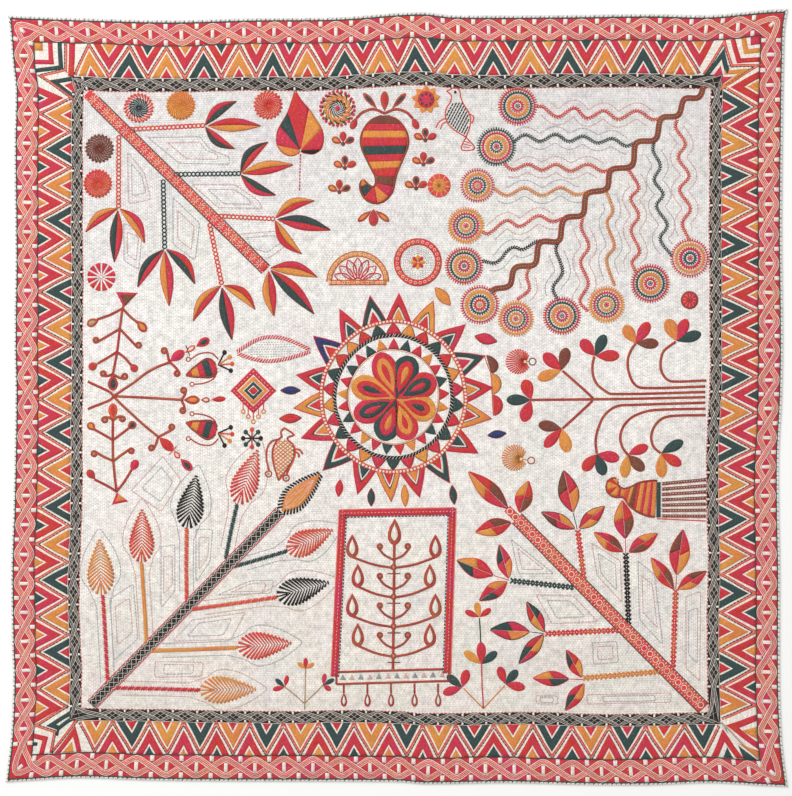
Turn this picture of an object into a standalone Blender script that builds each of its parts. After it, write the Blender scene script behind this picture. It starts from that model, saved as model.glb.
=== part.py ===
"""A nakshi kantha, laid out flat: a square quilt of worn cotton layers, embroidered all over.

It is one cloth, so it is one solid. The underside is flat. The upper side is modelled in closed
rings, from the hem inward: the rolled rim, three embroidered border bands with stitched channels
between them, puffed rows of echo quilting over the field, and the low relief of a round lotus
medallion. Four embroidered trunks lie along the diagonals, from the border towards the medallion.
"""

import math

import bmesh
import bpy

# Tables hold millimetres, and the mesh is made in metres.
MM = 0.001

# The nominal square, before its hem is pulled out of true
HALF_SIDE = 415.0

# The medallion lies a little off the middle of the cloth
MEDALLION_X = -4.3
MEDALLION_Y = 2.2
MEDALLION_RADIUS = 107.0
RAYS = 18
PETALS = 8

# Heights above the floor
HEM_HEIGHT = 1.0
CHANNEL_HEIGHT = 1.6
PUFF_HEIGHT = 2.5
TRUNK_RELIEF = 0.5
RAY_RELIEF = 0.5
PETAL_RELIEF = 0.6

# The echo quilting: puffed rows between the border and the medallion
PUFFS = 6

# The trunks: half of a trunk's width, and its length as a share of the way to the medallion
TRUNK_HALF_WIDTH = 4.5
TRUNK_FOOT = 2.0
TRUNK_SHARE = 0.8

# Columns of points round each ring. Both counts divide it, and so do the four sides.
COLUMNS_PER_SIDE = 36
COLUMNS = 4 * COLUMNS_PER_SIDE
COLUMNS_PER_RAY = COLUMNS // RAYS
COLUMNS_PER_PETAL = COLUMNS // PETALS

# The hem isn't straight, and the four corners are drawn out to points. The columns are the place
# along the side, along +X or +Y, and how far the hem lies outside the nominal square there.
HEM_TOP = (
    (-415, 0.8), (-396, -0.3), (-335, -2.5), (-244, -4.6), (-153, -2.5), (-62, -1.4), (-2, 3.0),
    (29, 4.0), (59, 0.8), (180, 0.8), (271, 1.9), (332, 0.8), (392, 6.2), (415, 7.3),
)
HEM_BOTTOM = (
    (-415, -0.3), (-396, -1.4), (-335, -4.6), (-274, -2.5), (-214, -1.4), (0, -0.3), (29, 1.9),
    (120, 0.8), (211, 3.0), (271, 3.0), (332, 0.8), (392, 4.0), (415, 5.1),
)
HEM_LEFT = (
    (-415, 9.5), (-393, 6.7), (-363, 3.5), (-302, 1.3), (-272, 2.4), (-181, 3.5), (-120, 1.3),
    (1, -0.8), (62, 0.2), (153, -0.8), (274, 0.2), (335, -0.8), (365, 2.4), (395, 4.6), (415, 6.7),
)
HEM_RIGHT = (
    (-415, 7.8), (-393, 4.6), (-363, 1.3), (-302, -0.8), (-181, -0.8), (-120, -1.9), (-60, -1.9),
    (1, 1.3), (62, 2.4), (183, 1.3), (304, 2.4), (365, 3.5), (395, 4.6), (415, 7.8),
)
# How far into the cloth the hem's unevenness reaches
HEM_REACH = 300.0

# The border's rings. The columns are the distance from the hem on the right, top, left and bottom
# side, and the height there.
BORDER_RINGS = (
    ("underside", 0.6, 0.6, 0.6, 0.6, 0.0),
    ("hem", 0.0, 0.0, 0.0, 0.0, HEM_HEIGHT),
    ("rim", 1.5, 1.7, 1.5, 1.5, 2.5),
    ("rim channel", 3.2, 4.3, 2.7, 2.7, CHANNEL_HEIGHT),
    ("lozenge band outside", 5.0, 6.0, 4.5, 4.5, 2.6),
    ("lozenge band inside", 25.0, 26.5, 24.0, 26.5, 2.6),
    ("lozenge channel", 26.8, 28.7, 26.0, 28.4, CHANNEL_HEIGHT),
    ("zigzag band outside", 29.0, 31.0, 28.0, 30.5, 2.5),
    ("zigzag band inside", 64.0, 62.0, 59.7, 61.5, 2.5),
    ("zigzag channel", 66.0, 64.5, 61.5, 63.6, CHANNEL_HEIGHT),
    ("dark band outside", 67.5, 66.5, 63.0, 65.0, 2.7),
    ("dark band inside", 77.5, 78.5, 73.5, 76.0, 2.7),
)
# The field's edge: the same four distances
FIELD_EDGE = (80.0, 80.2, 75.3, 77.8)

# The medallion's rings. The columns are the radius, the height, the share of a ray's width and the
# share of a petal's width that is raised there.
MEDALLION_RINGS = (
    ("ray tips", MEDALLION_RADIUS, 2.0, 0.15, 0.0),
    ("ray waist", 98.0, 2.0, 0.40, 0.0),
    ("ray flank", 89.0, 2.0, 0.70, 0.0),
    ("ray feet", 81.0, 2.0, 1.0, 0.0),
    ("dotted ring", 78.5, 2.7, 0.0, 0.0),
    ("triangle ground", 75.0, 2.2, 0.0, 0.0),
    ("rope ring", 64.0, 2.8, 0.0, 0.0),
    ("inner ground", 60.0, 2.2, 0.0, 0.0),
    ("lotus ring", 49.5, 2.5, 0.0, 0.0),
    ("petal tips", 46.0, 2.1, 0.0, 0.45),
    ("petal shoulders", 36.0, 2.1, 0.0, 0.90),
    ("petal waist", 22.0, 2.1, 0.0, 0.80),
    ("petal feet", 8.0, 2.2, 0.0, 0.60),
)
MEDALLION_HEART = 2.8

# The cloth's colour is that of washed, unbleached cotton.
CLOTH_COLOUR = (0.74, 0.69, 0.62, 1.0)
CLOTH_ROUGHNESS = 0.92


def read_curve(rows, place):
    """Read a table of (place, value) rows along one smooth curve through them."""
    last = len(rows) - 1
    slopes = []
    for index in range(last + 1):
        before = rows[max(index - 1, 0)]
        after = rows[min(index + 1, last)]
        slopes.append((after[1] - before[1]) / (after[0] - before[0]))
    index = 0
    while index < last - 1 and place > rows[index + 1][0]:
        index += 1
    start, end = rows[index], rows[index + 1]
    span = end[0] - start[0]
    t = min(max((place - start[0]) / span, 0.0), 1.0)
    rise = (3 - 2 * t) * t * t
    leave = t * (1 - t) ** 2 * span * slopes[index]
    arrive = t * t * (1 - t) * span * slopes[index + 1]
    return start[1] + (end[1] - start[1]) * rise + leave - arrive


def hem_share(distance):
    """How much of the hem's unevenness is left at a distance from it: all at 0, none at the reach."""
    t = min(max(distance / HEM_REACH, 0.0), 1.0)
    return 1.0 - t * t * (3 - 2 * t)


def lay(x, y):
    """Carry a point of the nominal square to where the uneven cloth has it."""
    right = read_curve(HEM_RIGHT, y) * hem_share(HALF_SIDE - x)
    left = read_curve(HEM_LEFT, y) * hem_share(HALF_SIDE + x)
    top = read_curve(HEM_TOP, x) * hem_share(HALF_SIDE - y)
    bottom = read_curve(HEM_BOTTOM, x) * hem_share(HALF_SIDE + y)
    return x + right - left, y + top - bottom


def mix(a, b, share):
    """The point at a share of the way from a to b."""
    return a[0] + (b[0] - a[0]) * share, a[1] + (b[1] - a[1]) * share


def square_point(column, distances):
    """A column's point on a square ring that lies at the given distances from the four sides.

    Column 0 is the lower right corner, and the columns run anticlockwise. Near a corner they keep
    a trunk's width, and between the corners they are spread evenly.
    """
    right, top, left, bottom = distances
    east, north = HALF_SIDE - right, HALF_SIDE - top
    west, south = left - HALF_SIDE, bottom - HALF_SIDE
    corners = ((east, south), (east, north), (west, north), (west, south))
    side, step = divmod(column, COLUMNS_PER_SIDE)
    start, end = corners[side], corners[(side + 1) % 4]
    length = math.dist(start, end)
    edge = TRUNK_HALF_WIDTH * math.sqrt(2)
    foot = edge + TRUNK_FOOT * math.sqrt(2)
    even = COLUMNS_PER_SIDE - 4
    if step < 2:
        along = step * edge
    elif step > COLUMNS_PER_SIDE - 2:
        along = length - edge
    else:
        along = foot + (length - 2 * foot) * (step - 2) / even
    return mix(start, end, along / length)


def round_point(column, radius):
    """A column's point on a round ring about the medallion's middle."""
    angle = math.tau * column / COLUMNS - math.pi / 4
    return MEDALLION_X + radius * math.cos(angle), MEDALLION_Y + radius * math.sin(angle)


def raised(column, columns_per_form, share):
    """How far a column is raised, 0 to 1, by a form that is centred on column 0 and repeats."""
    half = columns_per_form / 2
    away = abs((column + half) % columns_per_form - half) / half
    return min(max((share - away) * half + 0.5, 0.0), 1.0) if share > 0 else 0.0


def trunk_relief(column, share):
    """The height that a trunk adds at a column, at a share of the way from the border inward."""
    step = column % COLUMNS_PER_SIDE
    if step in (0, 1, COLUMNS_PER_SIDE - 1) and share < TRUNK_SHARE:
        return TRUNK_RELIEF
    return 0.0


def border_rings():
    """The rings from the underside's edge to the dark band."""
    for _name, right, top, left, bottom, height in BORDER_RINGS:
        distances = (right, top, left, bottom)
        yield [(*lay(*square_point(column, distances)), height) for column in range(COLUMNS)]


def field_rings():
    """The puffed rows of echo quilting, which turn from a square to the medallion's circle."""
    for step in range(2 * PUFFS):
        share = step / (2 * PUFFS)
        height = PUFF_HEIGHT if step % 2 else CHANNEL_HEIGHT
        ring = []
        for column in range(COLUMNS):
            outer = square_point(column, FIELD_EDGE)
            inner = round_point(column, MEDALLION_RADIUS)
            x, y = lay(*mix(outer, inner, share))
            ring.append((x, y, height + trunk_relief(column, share)))
        yield ring


def medallion_rings():
    """The low relief of the lotus medallion, from the ray tips to the petals' feet."""
    half_petal = COLUMNS_PER_PETAL // 2
    for _name, radius, height, ray_share, petal_share in MEDALLION_RINGS:
        ring = []
        for column in range(COLUMNS):
            ray = raised(column, COLUMNS_PER_RAY, ray_share)
            petal = raised(column + half_petal, COLUMNS_PER_PETAL, petal_share)
            z = height + ray * RAY_RELIEF + petal * PETAL_RELIEF
            ring.append((*lay(*round_point(column, radius)), z))
        yield ring


def kantha_mesh():
    """One closed body: the rings bridged to each other, a flat underside and the lotus heart."""
    rings = [*border_rings(), *field_rings(), *medallion_rings()]
    heart = (*lay(MEDALLION_X, MEDALLION_Y), MEDALLION_HEART)
    hem = rings[1]
    middle_x = (min(p[0] for p in hem) + max(p[0] for p in hem)) / 2
    middle_y = (min(p[1] for p in hem) + max(p[1] for p in hem)) / 2

    def place(point):
        return (point[0] - middle_x) * MM, (point[1] - middle_y) * MM, point[2] * MM

    shape = bmesh.new()
    rows = [[shape.verts.new(place(point)) for point in ring] for ring in rings]
    for outer, inner in zip(rows, rows[1:]):
        for column in range(COLUMNS):
            after = (column + 1) % COLUMNS
            shape.faces.new((outer[column], outer[after], inner[after], inner[column]))
    top = shape.verts.new(place(heart))
    for column in range(COLUMNS):
        shape.faces.new((rows[-1][column], rows[-1][(column + 1) % COLUMNS], top))
    shape.faces.new(list(reversed(rows[0])))
    shape.normal_update()
    mesh = bpy.data.meshes.new("kantha")
    shape.to_mesh(mesh)
    shape.free()
    mesh.shade_smooth()
    return mesh


def cotton():
    """Washed, unbleached cotton."""
    material = bpy.data.materials.new("washed cotton")
    material.use_nodes = True
    shader = material.node_tree.nodes["Principled BSDF"]
    shader.inputs["Base Color"].default_value = CLOTH_COLOUR
    shader.inputs["Roughness"].default_value = CLOTH_ROUGHNESS
    shader.inputs["Metallic"].default_value = 0.0
    return material


def clear_scene():
    """Remove what the scene holds before the model is made."""
    for thing in list(bpy.data.objects):
        bpy.data.objects.remove(thing, do_unlink=True)


def main():
    clear_scene()
    kantha = bpy.data.objects.new("kantha", kantha_mesh())
    kantha.data.materials.append(cotton())
    bpy.context.scene.collection.objects.link(kantha)


main()
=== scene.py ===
# %% [markdown]
# A nakshi kantha in Blender. The real thing is a few layers of old washed cotton, held together by
# close rows of running stitch and then embroidered in coloured cotton thread. We build it the way
# it is made: first the cloth, then its stitching, one motif at a time, each lying on the cloth.

# %% Load the fixed frame
import math

import bpy
import numpy as np
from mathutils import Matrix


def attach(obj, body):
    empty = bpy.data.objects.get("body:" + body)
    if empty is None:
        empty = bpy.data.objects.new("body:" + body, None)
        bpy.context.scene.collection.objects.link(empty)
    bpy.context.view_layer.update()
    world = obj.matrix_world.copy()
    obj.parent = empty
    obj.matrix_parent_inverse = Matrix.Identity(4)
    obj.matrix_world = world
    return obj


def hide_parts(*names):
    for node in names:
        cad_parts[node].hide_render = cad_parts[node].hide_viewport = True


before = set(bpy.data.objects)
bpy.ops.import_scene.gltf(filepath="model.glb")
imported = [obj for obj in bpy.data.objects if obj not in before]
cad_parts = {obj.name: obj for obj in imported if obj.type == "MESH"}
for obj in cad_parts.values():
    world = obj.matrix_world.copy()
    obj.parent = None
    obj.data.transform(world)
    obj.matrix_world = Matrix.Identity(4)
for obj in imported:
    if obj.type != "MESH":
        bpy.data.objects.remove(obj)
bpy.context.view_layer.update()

# %% [markdown]
# All sizes below are real millimetres on the flat cloth, with +X to the right, +Y up and the zero
# in the middle of the nominal square, as a maker would measure before the cloth is pulled out of
# true. One function, `lay`, carries flat points to where the uneven cloth has them, so a motif can
# be drawn simply and still follows the wavy hem.

# %% The cloth's sizes
MM = 0.001
HALF_SIDE = 415.0
MEDALLION = np.array((-4.3, 2.2))
MEDALLION_RADIUS = 107.0
HEM_HEIGHT = 1.0
CHANNEL_HEIGHT = 1.6
PUFF_HEIGHT = 2.5
PUFFS = 6

# %% [markdown]
# The hem isn't straight, and its four corners are drawn out to points. Each table gives the place
# along a side and how far the hem lies outside the nominal square there, and is read along one
# smooth curve.

# %% The hem
HEM_TOP = (
    (-415, 0.8), (-396, -0.3), (-335, -2.5), (-244, -4.6), (-153, -2.5), (-62, -1.4), (-2, 3.0),
    (29, 4.0), (59, 0.8), (180, 0.8), (271, 1.9), (332, 0.8), (392, 6.2), (415, 7.3),
)
HEM_BOTTOM = (
    (-415, -0.3), (-396, -1.4), (-335, -4.6), (-274, -2.5), (-214, -1.4), (0, -0.3), (29, 1.9),
    (120, 0.8), (211, 3.0), (271, 3.0), (332, 0.8), (392, 4.0), (415, 5.1),
)
HEM_LEFT = (
    (-415, 9.5), (-393, 6.7), (-363, 3.5), (-302, 1.3), (-272, 2.4), (-181, 3.5), (-120, 1.3),
    (1, -0.8), (62, 0.2), (153, -0.8), (274, 0.2), (335, -0.8), (365, 2.4), (395, 4.6), (415, 6.7),
)
HEM_RIGHT = (
    (-415, 7.8), (-393, 4.6), (-363, 1.3), (-302, -0.8), (-181, -0.8), (-120, -1.9), (-60, -1.9),
    (1, 1.3), (62, 2.4), (183, 1.3), (304, 2.4), (365, 3.5), (395, 4.6), (415, 7.8),
)
HEM_REACH = 300.0


def ease(t):
    """A smooth step from 0 to 1."""
    t = np.clip(t, 0.0, 1.0)
    return t * t * (3 - 2 * t)


def read_curve(rows, places):
    """Read a table of (place, value) rows along one smooth curve through them."""
    knots, values = np.array(rows, float).T
    before, after = np.maximum(np.arange(len(knots)) - 1, 0), np.minimum(np.arange(len(knots)) + 1, len(knots) - 1)
    slopes = (values[after] - values[before]) / (knots[after] - knots[before])
    i = np.clip(np.searchsorted(knots, places, side="left") - 1, 0, len(knots) - 2)
    span = knots[i + 1] - knots[i]
    t = np.clip((places - knots[i]) / span, 0.0, 1.0)
    bend = t * (1 - t) * span * ((1 - t) * slopes[i] - t * slopes[i + 1])
    return values[i] + (values[i + 1] - values[i]) * ease(t) + bend


def hem_share(distance):
    """How much of the hem's unevenness is left at a distance from it."""
    return 1.0 - ease(distance / HEM_REACH)


# %% [markdown]
# Hand work is never ruled. A few long, low waves move every drawn line by up to half a millimetre,
# and fade out at the hem, whose own unevenness is already in the tables.

# %% Laying flat points on the cloth
WOBBLE = (  # size in mm, waves per mm along x and y, phase
    (0.35, 0.021, 0.034, 0.4), (0.30, -0.046, 0.027, 1.9), (0.25, 0.083, 0.061, 3.1), (0.20, 0.12, -0.15, 5.0),
)


def wobble(x, y):
    """The small unevenness of hand work, as an offset in x and y."""
    fade = ease(np.minimum(HALF_SIDE - np.abs(x), HALF_SIDE - np.abs(y)) / 20.0)
    dx = sum(size * np.sin(a * x + b * y + phase) for size, a, b, phase in WOBBLE)
    dy = sum(size * np.cos(b * x - a * y + 2 * phase) for size, a, b, phase in WOBBLE)
    return dx * fade, dy * fade


def lay(x, y):
    """Carry flat points of the nominal square to where the uneven cloth has them."""
    dx, dy = wobble(x, y)
    right = read_curve(HEM_RIGHT, y) * hem_share(HALF_SIDE - x)
    left = read_curve(HEM_LEFT, y) * hem_share(HALF_SIDE + x)
    top = read_curve(HEM_TOP, x) * hem_share(HALF_SIDE - y)
    bottom = read_curve(HEM_BOTTOM, x) * hem_share(HALF_SIDE + y)
    return x + right - left + dx, y + top - bottom + dy


def unlay(x, y, rounds=6):
    """The flat point that is laid at a place measured on the real cloth."""
    u, v = x, y
    for _ in range(rounds):
        laid_u, laid_v = lay(u, v)
        u, v = u + x - laid_u, v + y - laid_v
    return u, v


rim = np.linspace(-HALF_SIDE, HALF_SIDE, 400)
side = np.full(400, HALF_SIDE)
hem_x, hem_y = lay(np.concatenate((rim, rim, side, -side)), np.concatenate((side, -side, rim, rim)))
MIDDLE = np.array((hem_x.min() + hem_x.max(), hem_y.min() + hem_y.max())) / 2
print("hem spans", np.ptp(hem_x).round(1), "by", np.ptp(hem_y).round(1), "mm about", MIDDLE.round(2))

# %% [markdown]
# The cloth's upper side isn't flat. Stitched channels draw it in between the border bands and in
# rings of echo quilting over the field, and it puffs up between them. These are the forms of the
# solid that it replaces, so the finished cloth keeps that solid's main shapes.

# %% The height of the cloth
BORDER_PROFILE = (  # share of the way from the hem to the field's edge, and the height in mm
    (0.0, HEM_HEIGHT), (0.007, 1.9), (0.018, 2.4), (0.03, 2.3), (0.042, CHANNEL_HEIGHT), (0.065, 2.2), (0.19, 2.3),
    (0.31, 2.2), (0.345, CHANNEL_HEIGHT), (0.375, 2.0), (0.575, 2.1), (0.77, 2.0), (0.805, CHANNEL_HEIGHT), (0.835, 2.2),
    (0.90, 2.3), (0.965, 2.2), (1.0, CHANNEL_HEIGHT),
)
FIELD_EDGE = {"right": 80.0, "top": 80.2, "left": 75.3, "bottom": 77.8}
MEDALLION_PROFILE = (  # radius and height in mm
    (0, 2.3), (45, 2.2), (49, 2.3), (56, 2.1), (64, 2.4), (70, 2.1), (79, 2.3), (85, 1.9), (107, CHANNEL_HEIGHT),
)
TRUNKS = {  # from and to, in mm
    "upper left": ((-338, 330), (-141, 139)), "upper right": ((331, 339), (100, 118)),
    "lower left": ((-331, -332), (-124, -117)), "lower right": ((334, -333), (120, -120)),
}
TRUNK_RELIEF = 0.4


def border_share(x, y):
    """How far a point is from the hem: 0 at the hem, 1 at the field's edge and more inside it."""
    return np.minimum.reduce([
        (HALF_SIDE - x) / FIELD_EDGE["right"], (HALF_SIDE + x) / FIELD_EDGE["left"],
        (HALF_SIDE - y) / FIELD_EDGE["top"], (HALF_SIDE + y) / FIELD_EDGE["bottom"],
    ])


def from_segment(x, y, start, end):
    """The distance of points from a straight segment."""
    (x0, y0), (x1, y1) = start, end
    length = math.dist(start, end)
    t = np.clip(((x - x0) * (x1 - x0) + (y - y0) * (y1 - y0)) / length**2, 0.0, 1.0)
    return np.hypot(x - x0 - t * (x1 - x0), y - y0 - t * (y1 - y0))


def height(x, y):
    """The height of the cloth's upper side over the floor, in mm."""
    share = border_share(x, y)
    border = np.interp(share, *np.array(BORDER_PROFILE).T)
    inside = np.maximum(share - 1.0, 0.0) * FIELD_EDGE["right"]
    radius = np.hypot(x - MEDALLION[0], y - MEDALLION[1])
    outside = np.maximum(radius - MEDALLION_RADIUS, 0.0)
    echo = inside / np.maximum(inside + outside, 1e-6)
    puff = CHANNEL_HEIGHT + (PUFF_HEIGHT - CHANNEL_HEIGHT) * np.abs(np.sin(math.pi * PUFFS * echo)) ** 0.7
    field = np.where(radius > MEDALLION_RADIUS, puff, np.interp(radius, *np.array(MEDALLION_PROFILE).T))
    for start, end in TRUNKS.values():
        field = field + TRUNK_RELIEF * ease((7.5 - from_segment(x, y, start, end)) / 3.0)
    return np.where(share < 1.0, border, field)


print("heights from", HEM_HEIGHT, "to", float(height(*np.meshgrid(rim, rim)).max().round(2)), "mm")

# %% [markdown]
# Every material here is a node tree, so one small function adds a node, sets it up and links its
# inputs. Colours are written as the sRGB hex values one would pick by eye, and one function turns
# them into the linear numbers that the renderer works with.

# %% Colour and node helpers


def linear(hex_colour):
    """An sRGB hex colour as linear RGBA."""
    channels = [int(hex_colour[i:i + 2], 16) / 255 for i in (0, 2, 4)]
    return (*(c / 12.92 if c <= 0.04045 else ((c + 0.055) / 1.055) ** 2.4 for c in channels), 1.0)


def add(tree, kind, inputs=(), **settings):
    """Add a node with its settings; inputs pairs a socket's name or number with a value or an output."""
    node = tree.nodes.new(kind)
    for name, value in settings.items():
        setattr(node, name, value)
    for name, value in dict(inputs).items():
        if isinstance(value, bpy.types.NodeSocket):
            tree.links.new(value, node.inputs[name])
        else:
            node.inputs[name].default_value = value
    return node


def new_material(name):
    """A new material with its tree and its Principled shader."""
    material = bpy.data.materials.new(name)
    material.use_nodes = True
    return material, material.node_tree, material.node_tree.nodes["Principled BSDF"]


# %% [markdown]
# The ground is plain-weave cotton, washed soft and quilted with running stitch in rows a little
# over 2 mm apart. The eye gets a matt off-white, slightly cooler at the top and creamier at the
# bottom, with tiny puckers across the rows. On top of that the colour carries painted light: a
# brighter band just above the middle and a darker top, painted shade in the stitch holes and the
# pucker hollows, and painted highlight on their crests. The rows' UVs are in millimetres (u along
# the nearest side, v away from it), so a brick pattern of stitch-long bricks gives the rows, and a
# noise that is stretched across them gives the puckers.

# %% Washed cotton, quilted by hand
ROW_PITCH = 2.4  # mm between rows of quilting
STITCH = 3.4  # mm, a running stitch with its gap
PUCKER = 2.2  # mm between puckers along a row
PUCKER_REACH = 5.0  # mm, how long a pucker is across the rows


def quilted_cotton():
    """Off-white cotton in layers, with rows of running stitch."""
    material, tree, shader = new_material("washed quilted cotton")
    uv = add(tree, "ShaderNodeUVMap", uv_map="stitch_mm").outputs["UV"]
    place = add(tree, "ShaderNodeTexCoord").outputs["Object"]

    stitches = add(tree, "ShaderNodeTexBrick", {
        "Vector": uv, "Scale": 1.0, "Mortar Size": 0.30, "Mortar Smooth": 0.6, "Bias": 0.0,
        "Brick Width": STITCH, "Row Height": ROW_PITCH, "Color1": (0.55,) * 3 + (1,), "Color2": (0.95,) * 3 + (1,),
        "Mortar": (0.1,) * 3 + (1,),
    }, offset=0.5)
    stretched = add(tree, "ShaderNodeMapping", {"Vector": uv, "Scale": (1 / PUCKER, 1 / PUCKER_REACH, 1)})
    puckers = add(tree, "ShaderNodeTexNoise", {"Vector": stretched.outputs[0], "Scale": 1.0, "Detail": 2.0})
    uneven = add(tree, "ShaderNodeTexNoise", {"Vector": uv, "Scale": 0.11, "Detail": 3.0})
    weave = add(tree, "ShaderNodeTexNoise", {"Vector": uv, "Scale": 1.1, "Detail": 1.0})

    rows = add(tree, "ShaderNodeMath", {0: stitches.outputs["Color"], 1: 0.55}, operation="MULTIPLY")
    folds = add(tree, "ShaderNodeMath", {0: puckers.outputs[0], 1: 1.3, 2: rows.outputs[0]}, operation="MULTIPLY_ADD")
    relief = add(tree, "ShaderNodeMath", {0: uneven.outputs[0], 1: 1.2, 2: folds.outputs[0]}, operation="MULTIPLY_ADD")
    bump = add(tree, "ShaderNodeBump", {"Height": relief.outputs[0], "Strength": 0.75, "Distance": 0.0011})

    down = add(tree, "ShaderNodeSeparateXYZ", {0: place})
    # The colour runs from a cooler, darker top through a brighter band just above the middle to a creamier bottom:
    # partly the cloth's own tint, partly painted light.
    shade = add(tree, "ShaderNodeMapRange", {"Value": down.outputs["Y"], "From Min": 0.34, "From Max": -0.34})
    ground = add(tree, "ShaderNodeValToRGB", {0: shade.outputs[0]})
    tints_and_painted_light = ground.color_ramp.elements
    tints_and_painted_light[0].color, tints_and_painted_light[1].color, tints_and_painted_light.new(0.45).color = linear("E2DEDB"), linear("ECE4DA"), linear("F3EEE9")
    blotch = add(tree, "ShaderNodeTexNoise", {"Vector": place, "Scale": 9.0, "Detail": 4.0})
    worn = add(tree, "ShaderNodeMapRange", {"Value": blotch.outputs[0], "From Min": 0.42, "From Max": 0.75, "To Max": 0.36})
    aged = add(tree, "ShaderNodeMix", {"Factor": worn.outputs[0]}, data_type="RGBA")
    tree.links.new(ground.outputs[0], aged.inputs[6])
    aged.inputs[7].default_value = linear("D6D1CE")
    # Painted shade and highlight: the colour is darkened in the stitch holes and pucker hollows of the relief and
    # lightened on its crests.
    painted_shade_and_highlight = add(tree, "ShaderNodeMapRange", {"Value": relief.outputs[0], "From Min": 1.0, "From Max": 2.0, "To Min": 0.68, "To Max": 1.20})
    grain = add(tree, "ShaderNodeMapRange", {"Value": weave.outputs[0], "To Min": 0.90, "To Max": 1.10})
    both = add(tree, "ShaderNodeMath", {0: painted_shade_and_highlight.outputs[0], 1: grain.outputs[0]}, operation="MULTIPLY")
    # A soft mottle of tints a few centimetres across, placed at random over the colour.
    soft_mottle = add(tree, "ShaderNodeTexNoise", {"Vector": place, "Scale": 22.0, "Detail": 3.0})
    tinted = add(tree, "ShaderNodeMix", {"Factor": 0.22}, data_type="RGBA", blend_type="SOFT_LIGHT")
    tree.links.new(aged.outputs[2], tinted.inputs[6])
    tree.links.new(soft_mottle.outputs["Color"], tinted.inputs[7])
    toned = add(tree, "ShaderNodeVectorMath", {0: tinted.outputs[2], "Scale": both.outputs[0]}, operation="SCALE")
    tree.links.new(toned.outputs[0], shader.inputs["Base Color"])
    tree.links.new(bump.outputs[0], shader.inputs["Normal"])
    shader.inputs["Roughness"].default_value = 0.9
    shader.inputs["Specular IOR Level"].default_value = 0.2
    return material


COTTON = quilted_cotton()

# %% [markdown]
# The threads are stranded cotton, dyed and worked as rows of darning stitch side by side. Each
# stitch lies proud of the cloth and catches the light, and painted shade darkens the colour in a
# line between rows and where a stitch goes down. Real strands are about 0.8 mm wide, under one
# pixel here, so the rows are drawn 1.5 mm apart to show at all.

# %% Dyed cotton threads
THREADS = {
    "crimson": "D33A49", "vermilion": "E25344", "salmon": "EE8E7E", "ochre": "E7934A", "green": "394E4C",
    "black": "2A2523", "brown": "824C3C", "navy": "38406F", "white": "FBF1E6", "blush": "FBE0D4",
    "olive": "8A7350", "grey": "98A19E", "rose": "DFB7B0", "madder": "BC4E40", "tan": "BFA27C", "ash": "BDBBBC", "brick": "C8603F",
}
THREAD_ROW = 1.5  # mm between rows of stitch
THREAD_STITCH = 4.6  # mm, one stitch


def dyed_thread(name, hex_colour):
    """Stranded cotton in one colour, worked in rows along u."""
    material, tree, shader = new_material(f"{name} stranded cotton")
    uv = add(tree, "ShaderNodeUVMap", uv_map="stitch_mm").outputs["UV"]
    # Painted shade: the bricks' dark mortar darkens the colour between rows and where a stitch goes down; the two brick
    # tones differ a little at random.
    stitches = add(tree, "ShaderNodeTexBrick", {
        "Vector": uv, "Scale": 1.0, "Mortar Size": 0.16, "Mortar Smooth": 1.0, "Bias": 0.0,
        "Brick Width": THREAD_STITCH, "Row Height": THREAD_ROW, "Color1": (0.78,) * 3 + (1,),
        "Color2": (1.0,) * 3 + (1,), "Mortar": (0.45,) * 3 + (1,),
    }, offset=0.37)
    slub = add(tree, "ShaderNodeTexNoise", {"Vector": uv, "Scale": 0.7, "Detail": 3.0})
    tone = add(tree, "ShaderNodeMapRange", {"Value": slub.outputs[0], "From Min": 0.3, "From Max": 0.7, "To Min": 0.82, "To Max": 1.2})
    both = add(tree, "ShaderNodeMath", {0: stitches.outputs["Color"], 1: tone.outputs[0]}, operation="MULTIPLY")
    dye = add(tree, "ShaderNodeVectorMath", {0: linear(hex_colour)[:3], "Scale": both.outputs[0]}, operation="SCALE")
    place = add(tree, "ShaderNodeTexCoord").outputs["Object"]
    vat = add(tree, "ShaderNodeTexNoise", {"Vector": place, "Scale": 38.0, "Detail": 1.0})
    hue = add(tree, "ShaderNodeMapRange", {"Value": vat.outputs[0], "From Min": 0.3, "From Max": 0.7, "To Min": 0.492, "To Max": 0.511})
    uneven = add(tree, "ShaderNodeHueSaturation", {"Hue": hue.outputs[0], "Color": dye.outputs[0]})
    fade = add(tree, "ShaderNodeMapRange", {"Value": slub.outputs[0], "From Min": 0.62, "From Max": 0.8, "To Max": 0.45})
    worn = add(tree, "ShaderNodeMix", {"Factor": fade.outputs[0]}, data_type="RGBA")
    tree.links.new(uneven.outputs[0], worn.inputs[6])
    worn.inputs[7].default_value = linear("EADFD2")
    bump = add(tree, "ShaderNodeBump", {"Height": both.outputs[0], "Strength": 0.6, "Distance": 0.0004})
    tree.links.new(worn.outputs[2], shader.inputs["Base Color"])
    tree.links.new(bump.outputs[0], shader.inputs["Normal"])
    shader.inputs["Roughness"].default_value = 0.72
    shader.inputs["Specular IOR Level"].default_value = 0.25
    return material


DYED = {name: dyed_thread(name, colour) for name, colour in THREADS.items()}
print(len(DYED), "thread colours")

# %% [markdown]
# The cloth itself is one closed sheet. Its upper side is a grid that is finer at the hem, where it
# rolls over. The grid is drawn flat and then laid, so the wavy hem and the quilted heights come
# from the functions above. Its UVs are in millimetres along and away from the nearest side, so the
# quilting rows turn the corner along the diagonals, as they do on the real cloth.

# %% The cloth
HEM_LINES = (0.0, 0.6, 1.4, 2.4, 3.6, 5.2, 7.4, 10.0)  # mm from the hem, where the grid is finer
GRID_STEPS = 292
UNDERSIDE_INSET = 0.6  # mm


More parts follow.
